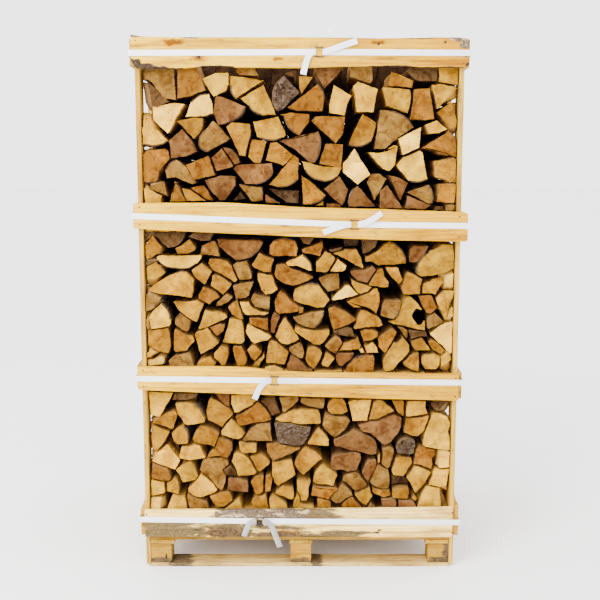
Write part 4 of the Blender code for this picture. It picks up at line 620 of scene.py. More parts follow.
class Finish:
    """A material whose nodes are added one by one and joined to its shader."""

    def __init__(self, name):
        self.material = bpy.data.materials.new(name)
        self.material.use_nodes = True
        self.tree = self.material.node_tree
        self.shader = self.tree.nodes["Principled BSDF"]

    def join(self, socket, value):
        if isinstance(value, bpy.types.NodeSocket):
            self.tree.links.new(value, socket)
        elif socket.type == "RGBA":
            socket.default_value = (*value[:3], 1.0)
        else:
            socket.default_value = value

    def node(self, kind, inputs=(), **settings):
        made = self.tree.nodes.new(kind)
        for key, value in settings.items():
            setattr(made, key, value)
        for key, value in dict(inputs).items():
            self.join(made.inputs[key], value)
        return made

    def read(self, name, output="Fac"):
        """A value stored on the mesh."""
        return self.node("ShaderNodeAttribute", attribute_name=name).outputs[output]

    def math(self, operation, first, second=0.0):
        return self.node("ShaderNodeMath", {0: first, 1: second}, operation=operation).outputs[0]

    def vector(self, operation, first, second):
        return self.node("ShaderNodeVectorMath", {0: first, 1: second}, operation=operation).outputs[0]

    def noise(self, place, scale, detail=4.0, roughness=0.55, distortion=0.0):
        made = self.node("ShaderNodeTexNoise", {"Vector": place, "Scale": scale, "Detail": detail,
                                                "Roughness": roughness, "Distortion": distortion})
        return made.outputs[0]

    def fibres(self, place, stretch, detail=4.0, distortion=0.0):
        """Noise drawn out along one way of the wood."""
        return self.noise(self.vector("MULTIPLY", place, stretch), 1.0, detail, 0.6, distortion)

    def step(self, value, low, high):
        """0 below low, 1 above high, and a smooth rise between."""
        made = self.node("ShaderNodeMapRange", {"Value": value, "From Min": low, "From Max": high},
                         interpolation_type="SMOOTHSTEP")
        return made.outputs[0]

    def fall(self, value, low, high):
        """1 below low, 0 above high, and a smooth fall between."""
        return self.math("SUBTRACT", 1.0, self.step(value, low, high))

    def blend(self, share, first, second, kind="MIX"):
        made = self.node("ShaderNodeMix", {0: share, 6: first, 7: second}, data_type="RGBA", blend_type=kind)
        return made.outputs[2]

    def stain(self, colour, share, amount, tint):
        """Darkens or brightens a colour by a tint where the share is high."""
        return self.blend(self.math("MULTIPLY", share, amount), colour, tint, "MULTIPLY")

    def dress(self, colour, roughness, height=None, depth=0.001):
        """Joins the colour, the roughness and the relief to the shader."""
        self.join(self.shader.inputs["Base Color"], colour)
        self.join(self.shader.inputs["Roughness"], roughness)
        if height is not None:
            bump = self.node("ShaderNodeBump", {"Height": height, "Distance": depth})
            self.join(self.shader.inputs["Normal"], bump.outputs["Normal"])
        return self.material


def split_ash_finish():
    """Sawn ends with rings and stains, fibrous split sides, and furrowed grey-brown bark."""
    kit = Finish("ash_logs")
    logs = settings().logs
    kit.shader.inputs["Specular IOR Level"].default_value = DRY_WOOD_SHINE
    tone = kit.read("log_tone", "Color")
    pith = kit.read("log_pith", "Vector")
    skin = kit.read("log_skin")
    weather = kit.read("log_weather")
    place = kit.node("ShaderNodeTexCoord").outputs["Object"]
    own = kit.vector("SUBTRACT", place, pith)
    parts = kit.node("ShaderNodeSeparateXYZ", {0: own})
    seed = kit.node("ShaderNodeSeparateXYZ", {0: pith}).outputs[1]
    flat = kit.node("ShaderNodeCombineXYZ", {0: parts.outputs[0], 2: parts.outputs[2]}).outputs[0]
    radius = kit.node("ShaderNodeVectorMath", {0: flat}, operation="LENGTH").outputs["Value"]

    warp = kit.math("MULTIPLY", kit.noise(own, 16.0, 2.0), RING_WARP)
    rings = kit.math("SINE", kit.math("MULTIPLY", kit.math("ADD", radius, warp), math.tau / logs.ring_width))
    ring = kit.step(rings, 0.1, 1.0)
    mottle = kit.noise(own, 30.0, 6.0, 0.62, 0.9)
    cloud = kit.noise(own, 17.0, 3.0)
    turned = kit.node("ShaderNodeVectorRotate", {"Vector": flat, "Angle": seed}, rotation_type="Y_AXIS")
    saw = kit.fibres(turned.outputs[0], (650.0, 1.0, 26.0), 2.0)
    angle = kit.math("ARCTAN2", parts.outputs[2], parts.outputs[0])
    sweep = kit.math("ADD", kit.math("MULTIPLY", angle, 3.0), kit.math("MULTIPLY", kit.noise(own, 9.0, 2.0), 5.0))
    across = kit.math("MULTIPLY", kit.math("ABSOLUTE", kit.math("SINE", sweep)), radius)
    check = kit.math("MULTIPLY", kit.fall(across, 0.0008, 0.0022), kit.step(kit.noise(own, 36.0, 1.0), 0.55, 0.61))

    stained = kit.math("MULTIPLY", kit.step(mottle, 0.42, 0.66), kit.math("ADD", weather, 0.25))
    end = kit.stain(tone, stained, 1.0, (0.42, 0.31, 0.22))
    end = kit.stain(end, kit.step(cloud, 0.46, 0.70), 0.8, (1.55, 1.62, 1.75))
    torn = kit.noise(kit.vector("ADD", own, (3.0, 5.0, 7.0)), 21.0, 7.0, 0.66)
    end = kit.stain(end, kit.step(torn, 0.575, 0.60), 0.5, (0.58, 0.46, 0.34))
    flecks = kit.math("MULTIPLY", kit.step(kit.noise(own, 105.0, 5.0, 0.7), 0.50, 0.60), kit.step(weather, 0.9, 1.0))
    end = kit.blend(kit.math("MULTIPLY", flecks, 0.75), end, logs.fleck)
    end = kit.stain(end, kit.fall(radius, 0.010, 0.060), 0.50, (0.62, 0.50, 0.40))
    end = kit.stain(end, ring, 0.40, (0.74, 0.66, 0.56))
    end = kit.stain(end, kit.step(saw, 0.45, 0.75), 0.35, (0.76, 0.72, 0.68))
    end = kit.blend(kit.math("MULTIPLY", check, 0.85), end, logs.crack)

    fibre = kit.fibres(own, (260.0, 8.0, 260.0), 5.0, 0.4)
    streak = kit.fibres(own, (48.0, 3.0, 48.0), 3.0)
    side = kit.blend(0.40, tone, logs.weathered_side)
    side = kit.stain(side, kit.step(fibre, 0.40, 0.66), 0.55, (0.62, 0.50, 0.40))
    side = kit.stain(side, kit.step(streak, 0.46, 0.68), 0.60, (1.35, 1.40, 1.55))
    plates = kit.fibres(own, (75.0, 16.0, 75.0), 7.0, 0.5)
    bark = kit.blend(kit.step(plates, 0.40, 0.58), logs.bark_furrow, logs.bark_ridge)
    bark = kit.blend(kit.step(kit.noise(own, 24.0, 3.0), 0.58, 0.68), bark, logs.lichen)
    rim = kit.blend(kit.step(mottle, 0.40, 0.65), logs.rim_light, logs.rim_dark)

    at_rim = kit.math("COMPARE", skin, BARK_RIM)
    at_wear = kit.math("COMPARE", skin, WORN_EDGE)
    for node in (at_rim.node, at_wear.node):
        node.inputs[2].default_value = 0.1
    at_side = kit.math("GREATER_THAN", skin, 0.8)
    at_bark = kit.math("GREATER_THAN", skin, 1.5)
    colour = kit.stain(end, at_wear, 1.0, (1.18, 1.20, 1.30))
    colour = kit.blend(at_rim, colour, rim)
    colour = kit.blend(at_side, colour, side)
    colour = kit.blend(at_bark, colour, bark)
    end_height = kit.math("SUBTRACT", kit.math("ADD", kit.math("MULTIPLY", saw, 0.5), mottle), check)
    side_height = kit.math("ADD", fibre, kit.math("MULTIPLY", at_bark, kit.math("MULTIPLY", plates, 2.0)))
    height = kit.node("ShaderNodeMix", {0: at_side, 2: end_height, 3: side_height}).outputs[0]
    return kit.dress(colour, 0.85, height, 0.0012)


def sawn_wood_finish(name, dirt):
    """Rough sawn softwood with streaks along its grain, knots, stains and strips of bark."""
    kit = Finish(name)
    colours = settings().wood
    kit.shader.inputs["Specular IOR Level"].default_value = DRY_WOOD_SHINE
    place = kit.read("board_place", "Vector")
    tone = kit.read("board_tone", "Color")
    bark = kit.read("board_bark")
    wane = kit.read("board_wane")
    stain = kit.read("board_stain")
    grey = kit.read("board_grey")
    streak = kit.fibres(place, (2.4, 36.0, 36.0), 5.0, 0.7)
    fine = kit.fibres(place, (14.0, 460.0, 460.0), 3.0)
    flame = kit.node("ShaderNodeTexWave", {"Vector": kit.vector("MULTIPLY", place, (0.30, 1.0, 1.0)), "Scale": 20.0,
                                           "Distortion": 7.0, "Detail": 2.0, "Detail Scale": 0.5},
                     bands_direction="Y").outputs[1]
    cells = kit.node("ShaderNodeTexVoronoi", {"Vector": kit.vector("MULTIPLY", place, (3.1, 8.5, 0.0)), "Scale": 1.0})
    chosen = kit.math("GREATER_THAN", kit.node("ShaderNodeSeparateColor", {0: cells.outputs["Color"]}).outputs[0], 0.66)
    knot = kit.math("MULTIPLY", kit.fall(cells.outputs["Distance"], 0.035, 0.065), chosen)
    halo = kit.math("MULTIPLY", kit.fall(cells.outputs["Distance"], 0.05, 0.20), chosen)

    wood = kit.stain(tone, kit.step(streak, 0.42, 0.72), 1.0, (0.54, 0.43, 0.26))
    wood = kit.stain(wood, flame, 0.50, (0.74, 0.62, 0.44))
    wood = kit.stain(wood, kit.step(fine, 0.40, 0.75), 0.35, (0.84, 0.78, 0.68))
    wood = kit.stain(wood, halo, 0.45, (0.78, 0.60, 0.40))
    wood = kit.blend(kit.math("MULTIPLY", knot, 0.75), wood, colours.knot)
    broken = kit.math("ADD", stain, kit.math("MULTIPLY", kit.math("SUBTRACT", kit.noise(place, 48.0), 0.5), 1.6))
    wood = kit.stain(wood, kit.step(broken, 0.20, 1.00), 1.0, (0.36, 0.22, 0.05))
    grime = kit.noise(kit.vector("MULTIPLY", place, (5.0, 14.0, 14.0)), 1.0, 5.0, 0.65)
    wood = kit.stain(wood, kit.step(grime, 0.46, 0.70), dirt, (0.50, 0.43, 0.36))

    # Grey weathering, and painted shade where a grey mark stands for the shade under a strap or beside a block
    drawn = kit.noise(kit.vector("MULTIPLY", place, (16.0, 60.0, 60.0)), 1.0, 6.0, 0.68, 0.6)
    soft = kit.math("ADD", grey, kit.math("MULTIPLY", kit.math("SUBTRACT", drawn, 0.5), 2.4))
    grey_and_shade = kit.blend(kit.step(kit.noise(place, 120.0, 5.0, 0.7), 0.38, 0.62), colours.grey_dark, colours.grey_light)
    wood = kit.blend(kit.math("MULTIPLY", kit.step(soft, 0.10, 0.62), 0.92), wood, grey_and_shade)

    speckle = kit.noise(place, 190.0, 4.0, 0.7)
    patch = kit.noise(kit.vector("MULTIPLY", place, (18.0, 40.0, 40.0)), 1.0, 4.0)
    skin = kit.blend(kit.step(speckle, 0.40, 0.60), colours.bark_dark, colours.bark_light)
    skin = kit.blend(kit.step(patch, 0.56, 0.64), skin, colours.bark_inner)
    # Dark wane, and painted shade where a wane mark stands for the shade inside a buckle or under a board's edge
    dark = kit.blend(kit.step(speckle, 0.35, 0.65), colours.wane_dark, colours.wane_light)
    skin = kit.blend(kit.step(wane, 0.30, 0.50), skin, dark)
    ragged = kit.math("MULTIPLY", kit.math("SUBTRACT", kit.noise(place, 40.0, 5.0), 0.5), 1.1)
    share = kit.step(kit.math("ADD", kit.math("MAXIMUM", bark, wane), ragged), 0.42, 0.58)
    colour = kit.blend(share, wood, skin)
    relief = kit.math("ADD", kit.math("MULTIPLY", fine, 0.6), kit.math("MULTIPLY", share, kit.math("ADD", speckle, 0.5)))
    return kit.dress(colour, 0.78, relief, 0.0009)


def pale_board_finish():
    return sawn_wood_finish("sawn_boards", 0.40)


def pallet_wood_finish():
    return sawn_wood_finish("pallet_planks", 0.8)


def woven_strap_finish():
    """White woven polyester: ribs along the strap, crossed by finer threads."""
    kit = Finish("woven_band")
    straps = settings().straps
    kit.shader.inputs["Sheen Weight"].default_value = 0.25
    parts = kit.node("ShaderNodeSeparateXYZ", {0: kit.read("strap_place", "Vector")})
    along = kit.math("SINE", kit.math("MULTIPLY", parts.outputs[0], math.tau / straps.thread))
    across = kit.math("SINE", kit.math("MULTIPLY", parts.outputs[1], math.tau / straps.rib))
    weave = kit.math("ADD", kit.math("MULTIPLY", across, 0.6), kit.math("MULTIPLY", along, 0.4))
    darkening = kit.noise(kit.read("strap_place", "Vector"), 14.0, 3.0)
    colour = kit.blend(kit.fall(weave, -0.9, 0.1), straps.cord, straps.hollow)
    colour = kit.stain(colour, kit.step(darkening, 0.50, 0.75), 0.5, (0.93, 0.90, 0.88))
    # Darkens the tails, most on the lowest strap
    colour = kit.stain(colour, kit.math("MULTIPLY", kit.read("strap_tail_darkening"), kit.math("ADD", darkening, 0.3)), 1.0, straps.darkening)
    return kit.dress(colour, 0.55, weave, 0.00025)


def dull_metal_finish(name, light, dark):
    """Dull metal, a little rusty, for the wire and the nails."""
    kit = Finish(name)
    kit.shader.inputs["Metallic"].default_value = 0.85
    place = kit.node("ShaderNodeTexCoord").outputs["Object"]
    cloud = kit.noise(place, 260.0, 4.0)
    colour = kit.blend(kit.step(cloud, 0.35, 0.65), light, dark)
    rust = kit.step(kit.noise(place, 120.0, 3.0), 0.58, 0.68)
    colour = kit.blend(kit.math("MULTIPLY", rust, 0.5), colour, (0.13, 0.06, 0.03))
    return kit.dress(colour, kit.math("ADD", kit.math("MULTIPLY", cloud, 0.3), 0.30), cloud, 0.0002)


def pale_floor_finish(colour):
    kit = Finish("pale_floor")
    place = kit.node("ShaderNodeTexCoord").outputs["Object"]
    cloud = kit.noise(place, 3.0, 5.0)
    shade = kit.blend(kit.math("MULTIPLY", cloud, 0.05), colour, (0.80, 0.79, 0.77))
    return kit.dress(shade, 0.9, kit.noise(place, 240.0, 2.0), 0.0002)


# Logs

def read_logs():
    """Each log's tone, its corners in metres, and whether the side after each corner is round."""
    logs = []
    for line in LOG_OUTLINES.strip().splitlines():
        tone, *words = line.split()
        corners = [tuple(float(value) * MM for value in word.lstrip("~").split(",")) for word in words]
        reached = [word.startswith("~") for word in words]
        logs.append((tone, corners, reached[1:] + reached[:1]))
    return logs


def hidden_logs():
    """Four-sided logs that fill the strips behind the front boards."""
    logs = []
    for (left_foot, left_top), (right_foot, right_top), count in HIDDEN_STRIPS:
        edges = []
        for index in range(count + 1):
            lean = HIDDEN_LEAN * math.sin(HIDDEN_LEAN_STEP * index + left_foot)
            inside = 0 < index < count
            edges.append((HIDDEN_END_X * (2 * index / count - 1), lean if inside else 0.0))
        for index in range(count):
            (near_x, near_lean), (far_x, far_lean) = edges[index], edges[index + 1]
            part = (index + 0.5) / count
            foot = (left_foot + (right_foot - left_foot) * part) * MM
            top = (left_top + (right_top - left_top) * part) * MM
            near_x += HIDDEN_GAP
            far_x -= HIDDEN_GAP
            corners = [(near_x - near_lean, foot), (far_x - far_lean, foot),
                       (far_x + far_lean, top), (near_x + near_lean, top)]
            logs.append((HIDDEN_TONES[index % len(HIDDEN_TONES)], corners, [False] * 4))
    return logs


def mirrored(logs):
    return [(tone, [(-x, z) for x, z in corners], arcs) for tone, corners, arcs in logs]


def middle_of(corners):
    return sum(x for x, _ in corners) / len(corners), sum(z for _, z in corners) / len(corners)


def cut_away(cell, spot, away):
    """What is left of a convex outline when all that lies past a spot in one direction is cut off."""
    kept = []
    for start, end in zip(cell, cell[1:] + cell[:1]):
        from_start, from_end = ((x - spot[0]) * away[0] + (z - spot[1]) * away[1] for x, z in (start, end))
        if from_start <= 0:
            kept.append(start)
        if from_start * from_end < 0:
            share = from_start / (from_start - from_end)
            kept.append((start[0] + (end[0] - start[0]) * share, start[1] + (end[1] - start[1]) * share))
    return kept


def cells_round(logs, node, top_rise):
    """The ground nearest to each log's middle, as outlines that fill the row's box."""
    low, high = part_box(node)
    middles = [middle_of(corners) for _, corners, _ in logs]
    cells = []
    for x, z in middles:
        top = high.z + top_rise - TIGHT_TOP_DROP * abs(math.sin(RECESS_WAVES[0] * x))
        cell = [(low.x, low.z), (high.x, low.z), (high.x, top), (low.x, top)]
        for other_x, other_z in middles:
            away = (other_x - x, other_z - z)
            distance = math.hypot(*away)
            if 0 < distance < NEIGHBOUR_REACH:
                share = 0.5 - TIGHT_GAP / distance
                cell = cut_away(cell, (x + away[0] * share, z + away[1] * share), away)
        cells.append(cell)
    return cells


def tight_logs(logs, node):
    """The same number of logs packed tight: each fills the ground round its middle."""
    cells = cells_round(logs, node, TIGHT_TOP_RISE)
    return [(tone, cell, [False] * len(cell)) for (tone, _, _), cell in zip(logs, cells)]


def distance_to_sides(cell, centre, directions):
    """How far it is from a point inside a convex outline to its sides, one value for each direction."""
    corners = np.array(cell)
    edges = np.roll(corners, -1, axis=0) - corners
    outward = np.stack([edges[:, 1], -edges[:, 0]], axis=1)
    room = ((corners - centre) * outward).sum(axis=1)
    along = directions @ outward.T
    return np.where(along > 1e-9, room / np.maximum(along, 1e-9), np.inf).min(axis=1)[:, None]


def signed_area(corners):
    following = corners[1:] + corners[:1]
    return sum(ax * bz - bx * az for (ax, az), (bx, bz) in zip(corners, following)) / 2


def set_anticlockwise(corners, arcs):
    """The corners and their round sides in the order that runs anticlockwise seen from the front."""
    if signed_area(corners) > 0:
        return corners, arcs
    return corners[::-1], arcs[-2::-1] + arcs[-1:]


def log_outline(corners, arcs, spacing, wear, crooked, rng):
    """Closely spaced points round a log, with worn corners, and which of them carry bark."""
    points = []
    bark = []
    seed = rng.uniform(0, 100)
    for index, start in enumerate(corners):
        end = corners[(index + 1) % len(corners)]
        span = (end[0] - start[0], end[1] - start[1])
        length = math.hypot(*span)
        if length < 1e-6:
            continue
        out = (span[1] / length, -span[0] / length)
        worn = min(wear / length, 0.25)
        steps = max(2, round(length / spacing))
        wave = crooked * EDGE_WAVE * length * rng.uniform(-1.0, 0.6)
        for step in range(steps + 1):
            share = worn + (1 - 2 * worn) * step / steps
            if arcs[index]:
                rise = 4 * ARC_RISE * length * share * (1 - share)
            else:
                rise = wave * math.sin(math.pi * share) + rng.uniform(-FRAY, FRAY)
            x = start[0] + span[0] * share
            z = start[1] + span[1] * share
            rise -= crooked * EDGE_LUMPS * (0.35 + noise.noise(Vector((x * 42, z * 42, seed))))
            points.append((x + out[0] * rise, z + out[1] * rise))
            bark.append(arcs[index])
    return np.array(points), bark


def pith_of(centre, outline, bark, rng):
    """Where the middle of the tree was, seen in a log's end: away from its bark."""
    count = len(outline)
    round_points = [point for point, round_side in zip(outline, bark) if round_side]
    if round_points:
        middle = sum(round_points) / len(round_points)
        return centre + (centre - middle) * rng.uniform(0.9, 1.5)
    return centre + (outline[rng.randrange(count)] - centre) * rng.uniform(0.7, 1.4)


class LogStack:
    """Gathers the logs of one piece: their points, faces, and what each face is."""

    def __init__(self):
        self.sizes = settings().logs
        self.points = []
        self.faces = []
        self.tones = []
        self.piths = []
        self.skins = []
        self.weathers = []

    def cut(self, log, start_y, into, length, spacing, shares, ripple, crooked, room, rng):
        """Adds one log: from start_y it runs along Y for its length, and into is 1 or -1."""
        sizes = self.sizes
        tone, corners, arcs = log
        corners, arcs = set_anticlockwise(corners, arcs)
        outline, bark = log_outline(corners, arcs, spacing, sizes.corner_wear, crooked, rng)
        centre = outline.mean(axis=0)
        reach = outline - centre
        size = np.maximum(np.linalg.norm(reach, axis=1), 1e-5)[:, None]
        count = len(outline)

        def inset(distance):
            return outline - reach / size * np.minimum(distance, size * 0.28)

        tilt = np.array([rng.uniform(-sizes.end_tilt, sizes.end_tilt), rng.uniform(-sizes.end_tilt, sizes.end_tilt)])
        slope = reach @ tilt
        slope = slope - slope.min()
        ragged = np.array([rng.random() for _ in range(count)])
        rings = [(inset(sizes.bark_ring + sizes.rim_inset), slope),
                 (inset(sizes.rim_inset), slope + 0.0004 * ragged),
                 (outline, slope + sizes.chamfer * (0.6 + 0.8 * ragged))]
        bend = np.array([rng.uniform(-sizes.bend, sizes.bend), rng.uniform(-sizes.bend, sizes.bend)])
        phase = rng.uniform(0, 100)
        swell = 0.0
        if room:
            free = distance_to_sides(room, centre, reach / size) - size
            near_post = (np.abs(outline[:, :1]) - SWELL_START_X) / (SWELL_FULL_X - SWELL_START_X)
            swell = reach / size * np.clip(free, 0.0, MOST_SWELL) * np.clip(near_post, 0.0, 1.0)
        for share in shares:
            bowed = outline + swell * min(share / SWELL_SHARE, 1.0) + crooked * (bend * math.sin(math.pi * share) - reach * LOG_TAPER * share)
            if ripple:
                for index, (x, z) in enumerate(outline):
                    lift = noise.noise(Vector((x * 70, phase + share * 4, z * 70)))
                    bowed[index] += reach[index] / size[index] * ripple * (lift - 0.7)
            rings.append((bowed, np.full(count, length * share)))
        rings.append((inset(0.0025) - reach * 0.03, np.full(count, length + 0.001)))

        base = len(self.points)
        for ring, depth in rings:
            for (x, z), deep in zip(ring, depth):
                self.points.append((x, start_y + into * deep, z))
        pith = pith_of(centre, outline, bark, rng)
        shade = rng.uniform(0.90, 1.10)
        warmth = rng.uniform(0.94, 1.06)
        red, green, blue = LOG_TONES[tone]
        colour = (red * shade, green * shade * warmth, blue * shade * warmth ** 3, 1.0)
        faces = [(list(range(base, base + count)), END_GRAIN)]
        for level in range(len(rings) - 1):
            near = base + level * count
            far = near + count
            for index in range(count):
                following = (index + 1) % count
                on_bark = bark[index] and bark[following]
                skin = BARK_SIDE if on_bark else SPLIT_SIDE
                if level == 0:
                    skin = BARK_RIM if on_bark else END_GRAIN
                if level == 1 and not on_bark:
                    skin = WORN_EDGE
                faces.append(([near + index, far + index, far + following, near + following], skin))
        last = base + (len(rings) - 1) * count
        faces.append((list(range(last + count - 1, last - 1, -1)), END_GRAIN))
        for corners_of_face, skin in faces:
            self.faces.append(corners_of_face)
            self.skins.append(skin)
            self.tones.append(colour)
            self.piths.append((pith[0], phase, pith[1]))
            self.weathers.append(LOG_WEATHER[tone])

    def finish(self, name, material, node):
        mesh = solid_mesh(name, self.points, self.faces)
        mark_faces(mesh, "log_tone", "FLOAT_COLOR", self.tones)
        mark_faces(mesh, "log_pith", "FLOAT_VECTOR", self.piths)
        mark_faces(mesh, "log_skin", "FLOAT", self.skins)
        mark_faces(mesh, "log_weather", "FLOAT", self.weathers)
        smooth_but_sharp(mesh, 32)
        return add_piece(name, mesh, material, "split_ash", node)


def log_recess(corners, tone):
    """How far a log's end stands back from the front of its row."""
    if tone == "D":
        return PUSHED_BACK
    x, z = middle_of(corners)
    return RECESS_RANGE * abs(math.sin(RECESS_WAVES[0] * x + RECESS_WAVES[1] * z))


def lies_outside(corners):
    """Whether a log shows at a side or on top of the stack."""
    return max(abs(x) for x, _ in corners) > OUTER_LOG_X or max(z for _, z in corners) > OUTER_LOG_Z


def stack_row(name, start_y, into, logs, look, seed):
    """Stacks one row of logs as a few upright columns, each one piece. into is its way along Y."""
    columns, spacing, inner_shares, outer_shares, tones, crooked = look
    material = finish_once("ash_logs", split_ash_finish)
    rng = random.Random(seed)
    stacks = [LogStack() for _ in range(columns)]
    rooms = cells_round(logs, name, 0.0)
    for (tone, corners, arcs), room in zip(logs, rooms):
        if tones and tone != "D":
            tone = rng.choice(tones)
        column = min(int((middle_of(corners)[0] / HIDDEN_END_X + 1) / 2 * columns), columns - 1)
        recess = log_recess(corners, tone) + ROW_CLEARANCE
        outer = lies_outside(corners)
        shares = outer_shares if outer else inner_shares
        stacks[column].cut((tone, corners, arcs), start_y + into * recess, into, LOG_LENGTH - recess - ROW_CLEARANCE,
                           spacing, shares, settings().logs.ripple if outer else 0.0, crooked,
                           room if outer and crooked else None, rng)
    for number, stack in enumerate(stacks, start=1):
        stack.finish(f"{name}_logs_{number}", material, name)


# Sawn boards, posts and the pallet

def sloped_edges(node, along, side):
    """A solid's low and high edge on one axis as it runs along another: places, and both values."""
    points = np.array([vertex.co[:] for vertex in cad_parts[node].data.vertices])
    slope, start = np.polyfit(points[:, along], points[:, side], 1)
    line = start + slope * points[:, along]
    edges = []
    for above in (False, True):
        chosen = points[(points[:, side] > line) == above]
        spots = {}
        for point in chosen:
            spots.setdefault(round(float(point[along]), 4), []).append(float(point[side]))
        places = sorted(spots)
        pick = max if above else min
        edges.append((places, [pick(spots[place]) for place in places]))
    return edges


def section_loop(half_across, half_depth, spacing, arris):
    """Points round a board's section with worn arrises, each with the way out of the wood."""
    loop = []
    for out_a, out_d in ((0, -1), (1, 0), (0, 1), (-1, 0)):
        half_run, half_out = (half_across, half_depth) if out_d else (half_depth, half_across)
        run = half_run - arris
        count = max(2, round(2 * run / spacing))
        for step in range(count + 1):
            place = run * (2 * step / count - 1)
            loop.append((out_a * half_out - out_d * place, out_d * half_out + out_a * place, out_a, out_d))
        turn_a, turn_d = out_a - out_d, out_d + out_a
        loop.append((turn_a * (half_across - 0.3 * arris), turn_d * (half_depth - 0.3 * arris),
                     0.7 * turn_a, 0.7 * turn_d))
    return loop


def marks_on(node, kind):
    return [mark[2:] for mark in BOARD_MARKS if mark[0] == node and mark[1] == kind]


def mark_strength(marks, along, across):
    """How strongly the marks of one kind colour a point of a board: 0.5 at their edge."""
    strength = 0.0
    for mark_along, mark_across, half_along, half_across in marks:
        reach_along = abs(along / MM - mark_along) / half_along
        reach_across = abs(across / MM - mark_across) / half_across
        away = (reach_along ** 3 + reach_across ** 3) ** (1 / 3)
        strength = max(strength, 1.3 - 0.8 * away)
    return strength


def wear(sizes, along, across, depth, out_a, out_d, phase):
    """How deep rough sawing and chipped edges cut into a board at a point."""
    rough = noise.noise(Vector((along * 9, across * 90 + phase, depth * 90)))
    cut = sizes.saw_relief * (0.6 + rough)
    if out_a:
        wave = noise.noise(Vector((along * 11, phase, out_a * 3)))
        cut += sizes.edge_relief * max(0.0, 0.5 + wave)
    if out_a and out_d:
        chip = noise.noise(Vector((along * 45, across * 30, phase + out_d)))
        cut += sizes.chip_depth * max(0.0, chip - 0.1)
    return max(0.0, cut)


def sawn_piece(node, axes, spacing, material, slot, tones):
    """A sawn piece of wood on the place of a solid. axes: along its grain, across, and its thickness."""
    along, across, depth = axes
    low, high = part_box(node)
    nominal_a = (high[across] - low[across]) / 2
    nominal_d = (high[depth] - low[depth]) / 2
    edges_a = sloped_edges(node, along, across)
    edges_d = sloped_edges(node, along, depth)
    half_a = min(nominal_a, (np.mean(edges_a[1][1]) - np.mean(edges_a[0][1])) / 2)
    half_d = min(nominal_d, (np.mean(edges_d[1][1]) - np.mean(edges_d[0][1])) / 2)
    sizes = settings().wood
    loop = section_loop(half_a, half_d, spacing, sizes.arris)
    phase = 7.3 * (sorted(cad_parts).index(node) + 1)
    steps = max(4, round((high[along] - low[along]) / spacing))
    inner = np.linspace(low[along] + sizes.arris, high[along] - sizes.arris, steps + 1)
    stations = [(low[along], 1.0), *((place, 0.0) for place in inner), (high[along], 1.0)]
    kinds = [(kind, marks_on(node, kind), []) for kind in MARK_KINDS]
    first_tone, last_tone = (np.array(tone) for tone in tones)
    points, places, tints = [], [], []
    for place, at_end in stations:
        bottom, top = (np.interp(place, *edge) for edge in edges_a)
        back, front = (np.interp(place, *edge) for edge in edges_d)
        share = (place - low[along]) / (high[along] - low[along])
        tint = first_tone + (last_tone - first_tone) * share
        for rel_a, rel_d, out_a, out_d in loop:
            a = (bottom + top) / 2 + rel_a * (top - bottom) / 2 / half_a
            d = (back + front) / 2 + rel_d * (front - back) / 2 / half_d
            cut = wear(sizes, place, a, d, out_a, out_d, phase)
            shrink = at_end * sizes.arris
            a -= out_a * cut + math.copysign(min(shrink, abs(rel_a)), rel_a)
            d -= out_d * cut + math.copysign(min(shrink, abs(rel_d)), rel_d)
            spot = [0.0, 0.0, 0.0]
            spot[along], spot[across], spot[depth] = place, a, d
            points.append(spot)
            places.append((place + phase, a, d))
            tints.append((*tint, 1.0))
            for _, marks, strengths in kinds:
                strengths.append(mark_strength(marks, place, a))
    count = len(loop)
    faces = [list(range(count)), list(range(len(points) - 1, len(points) - count - 1, -1))]
    for near in range(0, len(points) - count, count):
        for index in range(count):
            following = (index + 1) % count
            faces.append([near + index, near + count + index, near + count + following, near + following])
    mesh = solid_mesh(f"{node}_sawn", points, faces)
    mark_points(mesh, "board_place", "FLOAT_VECTOR", places)
    mark_points(mesh, "board_tone", "FLOAT_COLOR", tints)
    for kind, _, strengths in kinds:
        mark_points(mesh, f"board_{kind}", "FLOAT", strengths)
    smooth_but_sharp(mesh, 40)
    return add_piece(f"{node}_sawn", mesh, material, slot, node)


def shaded(colour, seed):
    """Two near shades of a colour, for the two ends of a piece of wood."""
    rng = random.Random(seed)
    shades = []
    for _ in range(2):
        light = rng.uniform(0.86, 1.12)
        warm = rng.uniform(0.92, 1.12)
        shades.append((colour[0] * light, colour[1] * light * warm, colour[2] * light * warm ** 3))
    return shades


# Nails

def nail_head(points, faces, centre, out, size):
    """Adds a low domed nail head that looks outward along one axis."""
    out = Vector(out)
    side = out.cross(Vector((0, 0, 1))).normalized()
    up = side.cross(out)
    base = len(points)
    for radius, height in ((1.0, -0.30), (1.0, 0.06), (0.72, 0.20)):
        for step in range(NAIL_SIDES):
            angle = math.tau * step / NAIL_SIDES
            away = (side * math.cos(angle) + up * math.sin(angle)) * size * radius
            points.append(Vector(centre) + away + out * size * height)
    faces.append([base + step for step in range(NAIL_SIDES)])
    faces.append([base + 2 * NAIL_SIDES + step for step in reversed(range(NAIL_SIDES))])
    for ring in (base, base + NAIL_SIDES):
        for step in range(NAIL_SIDES):
            following = (step + 1) % NAIL_SIDES
            faces.append([ring + step, ring + NAIL_SIDES + step, ring + NAIL_SIDES + following, ring + following])


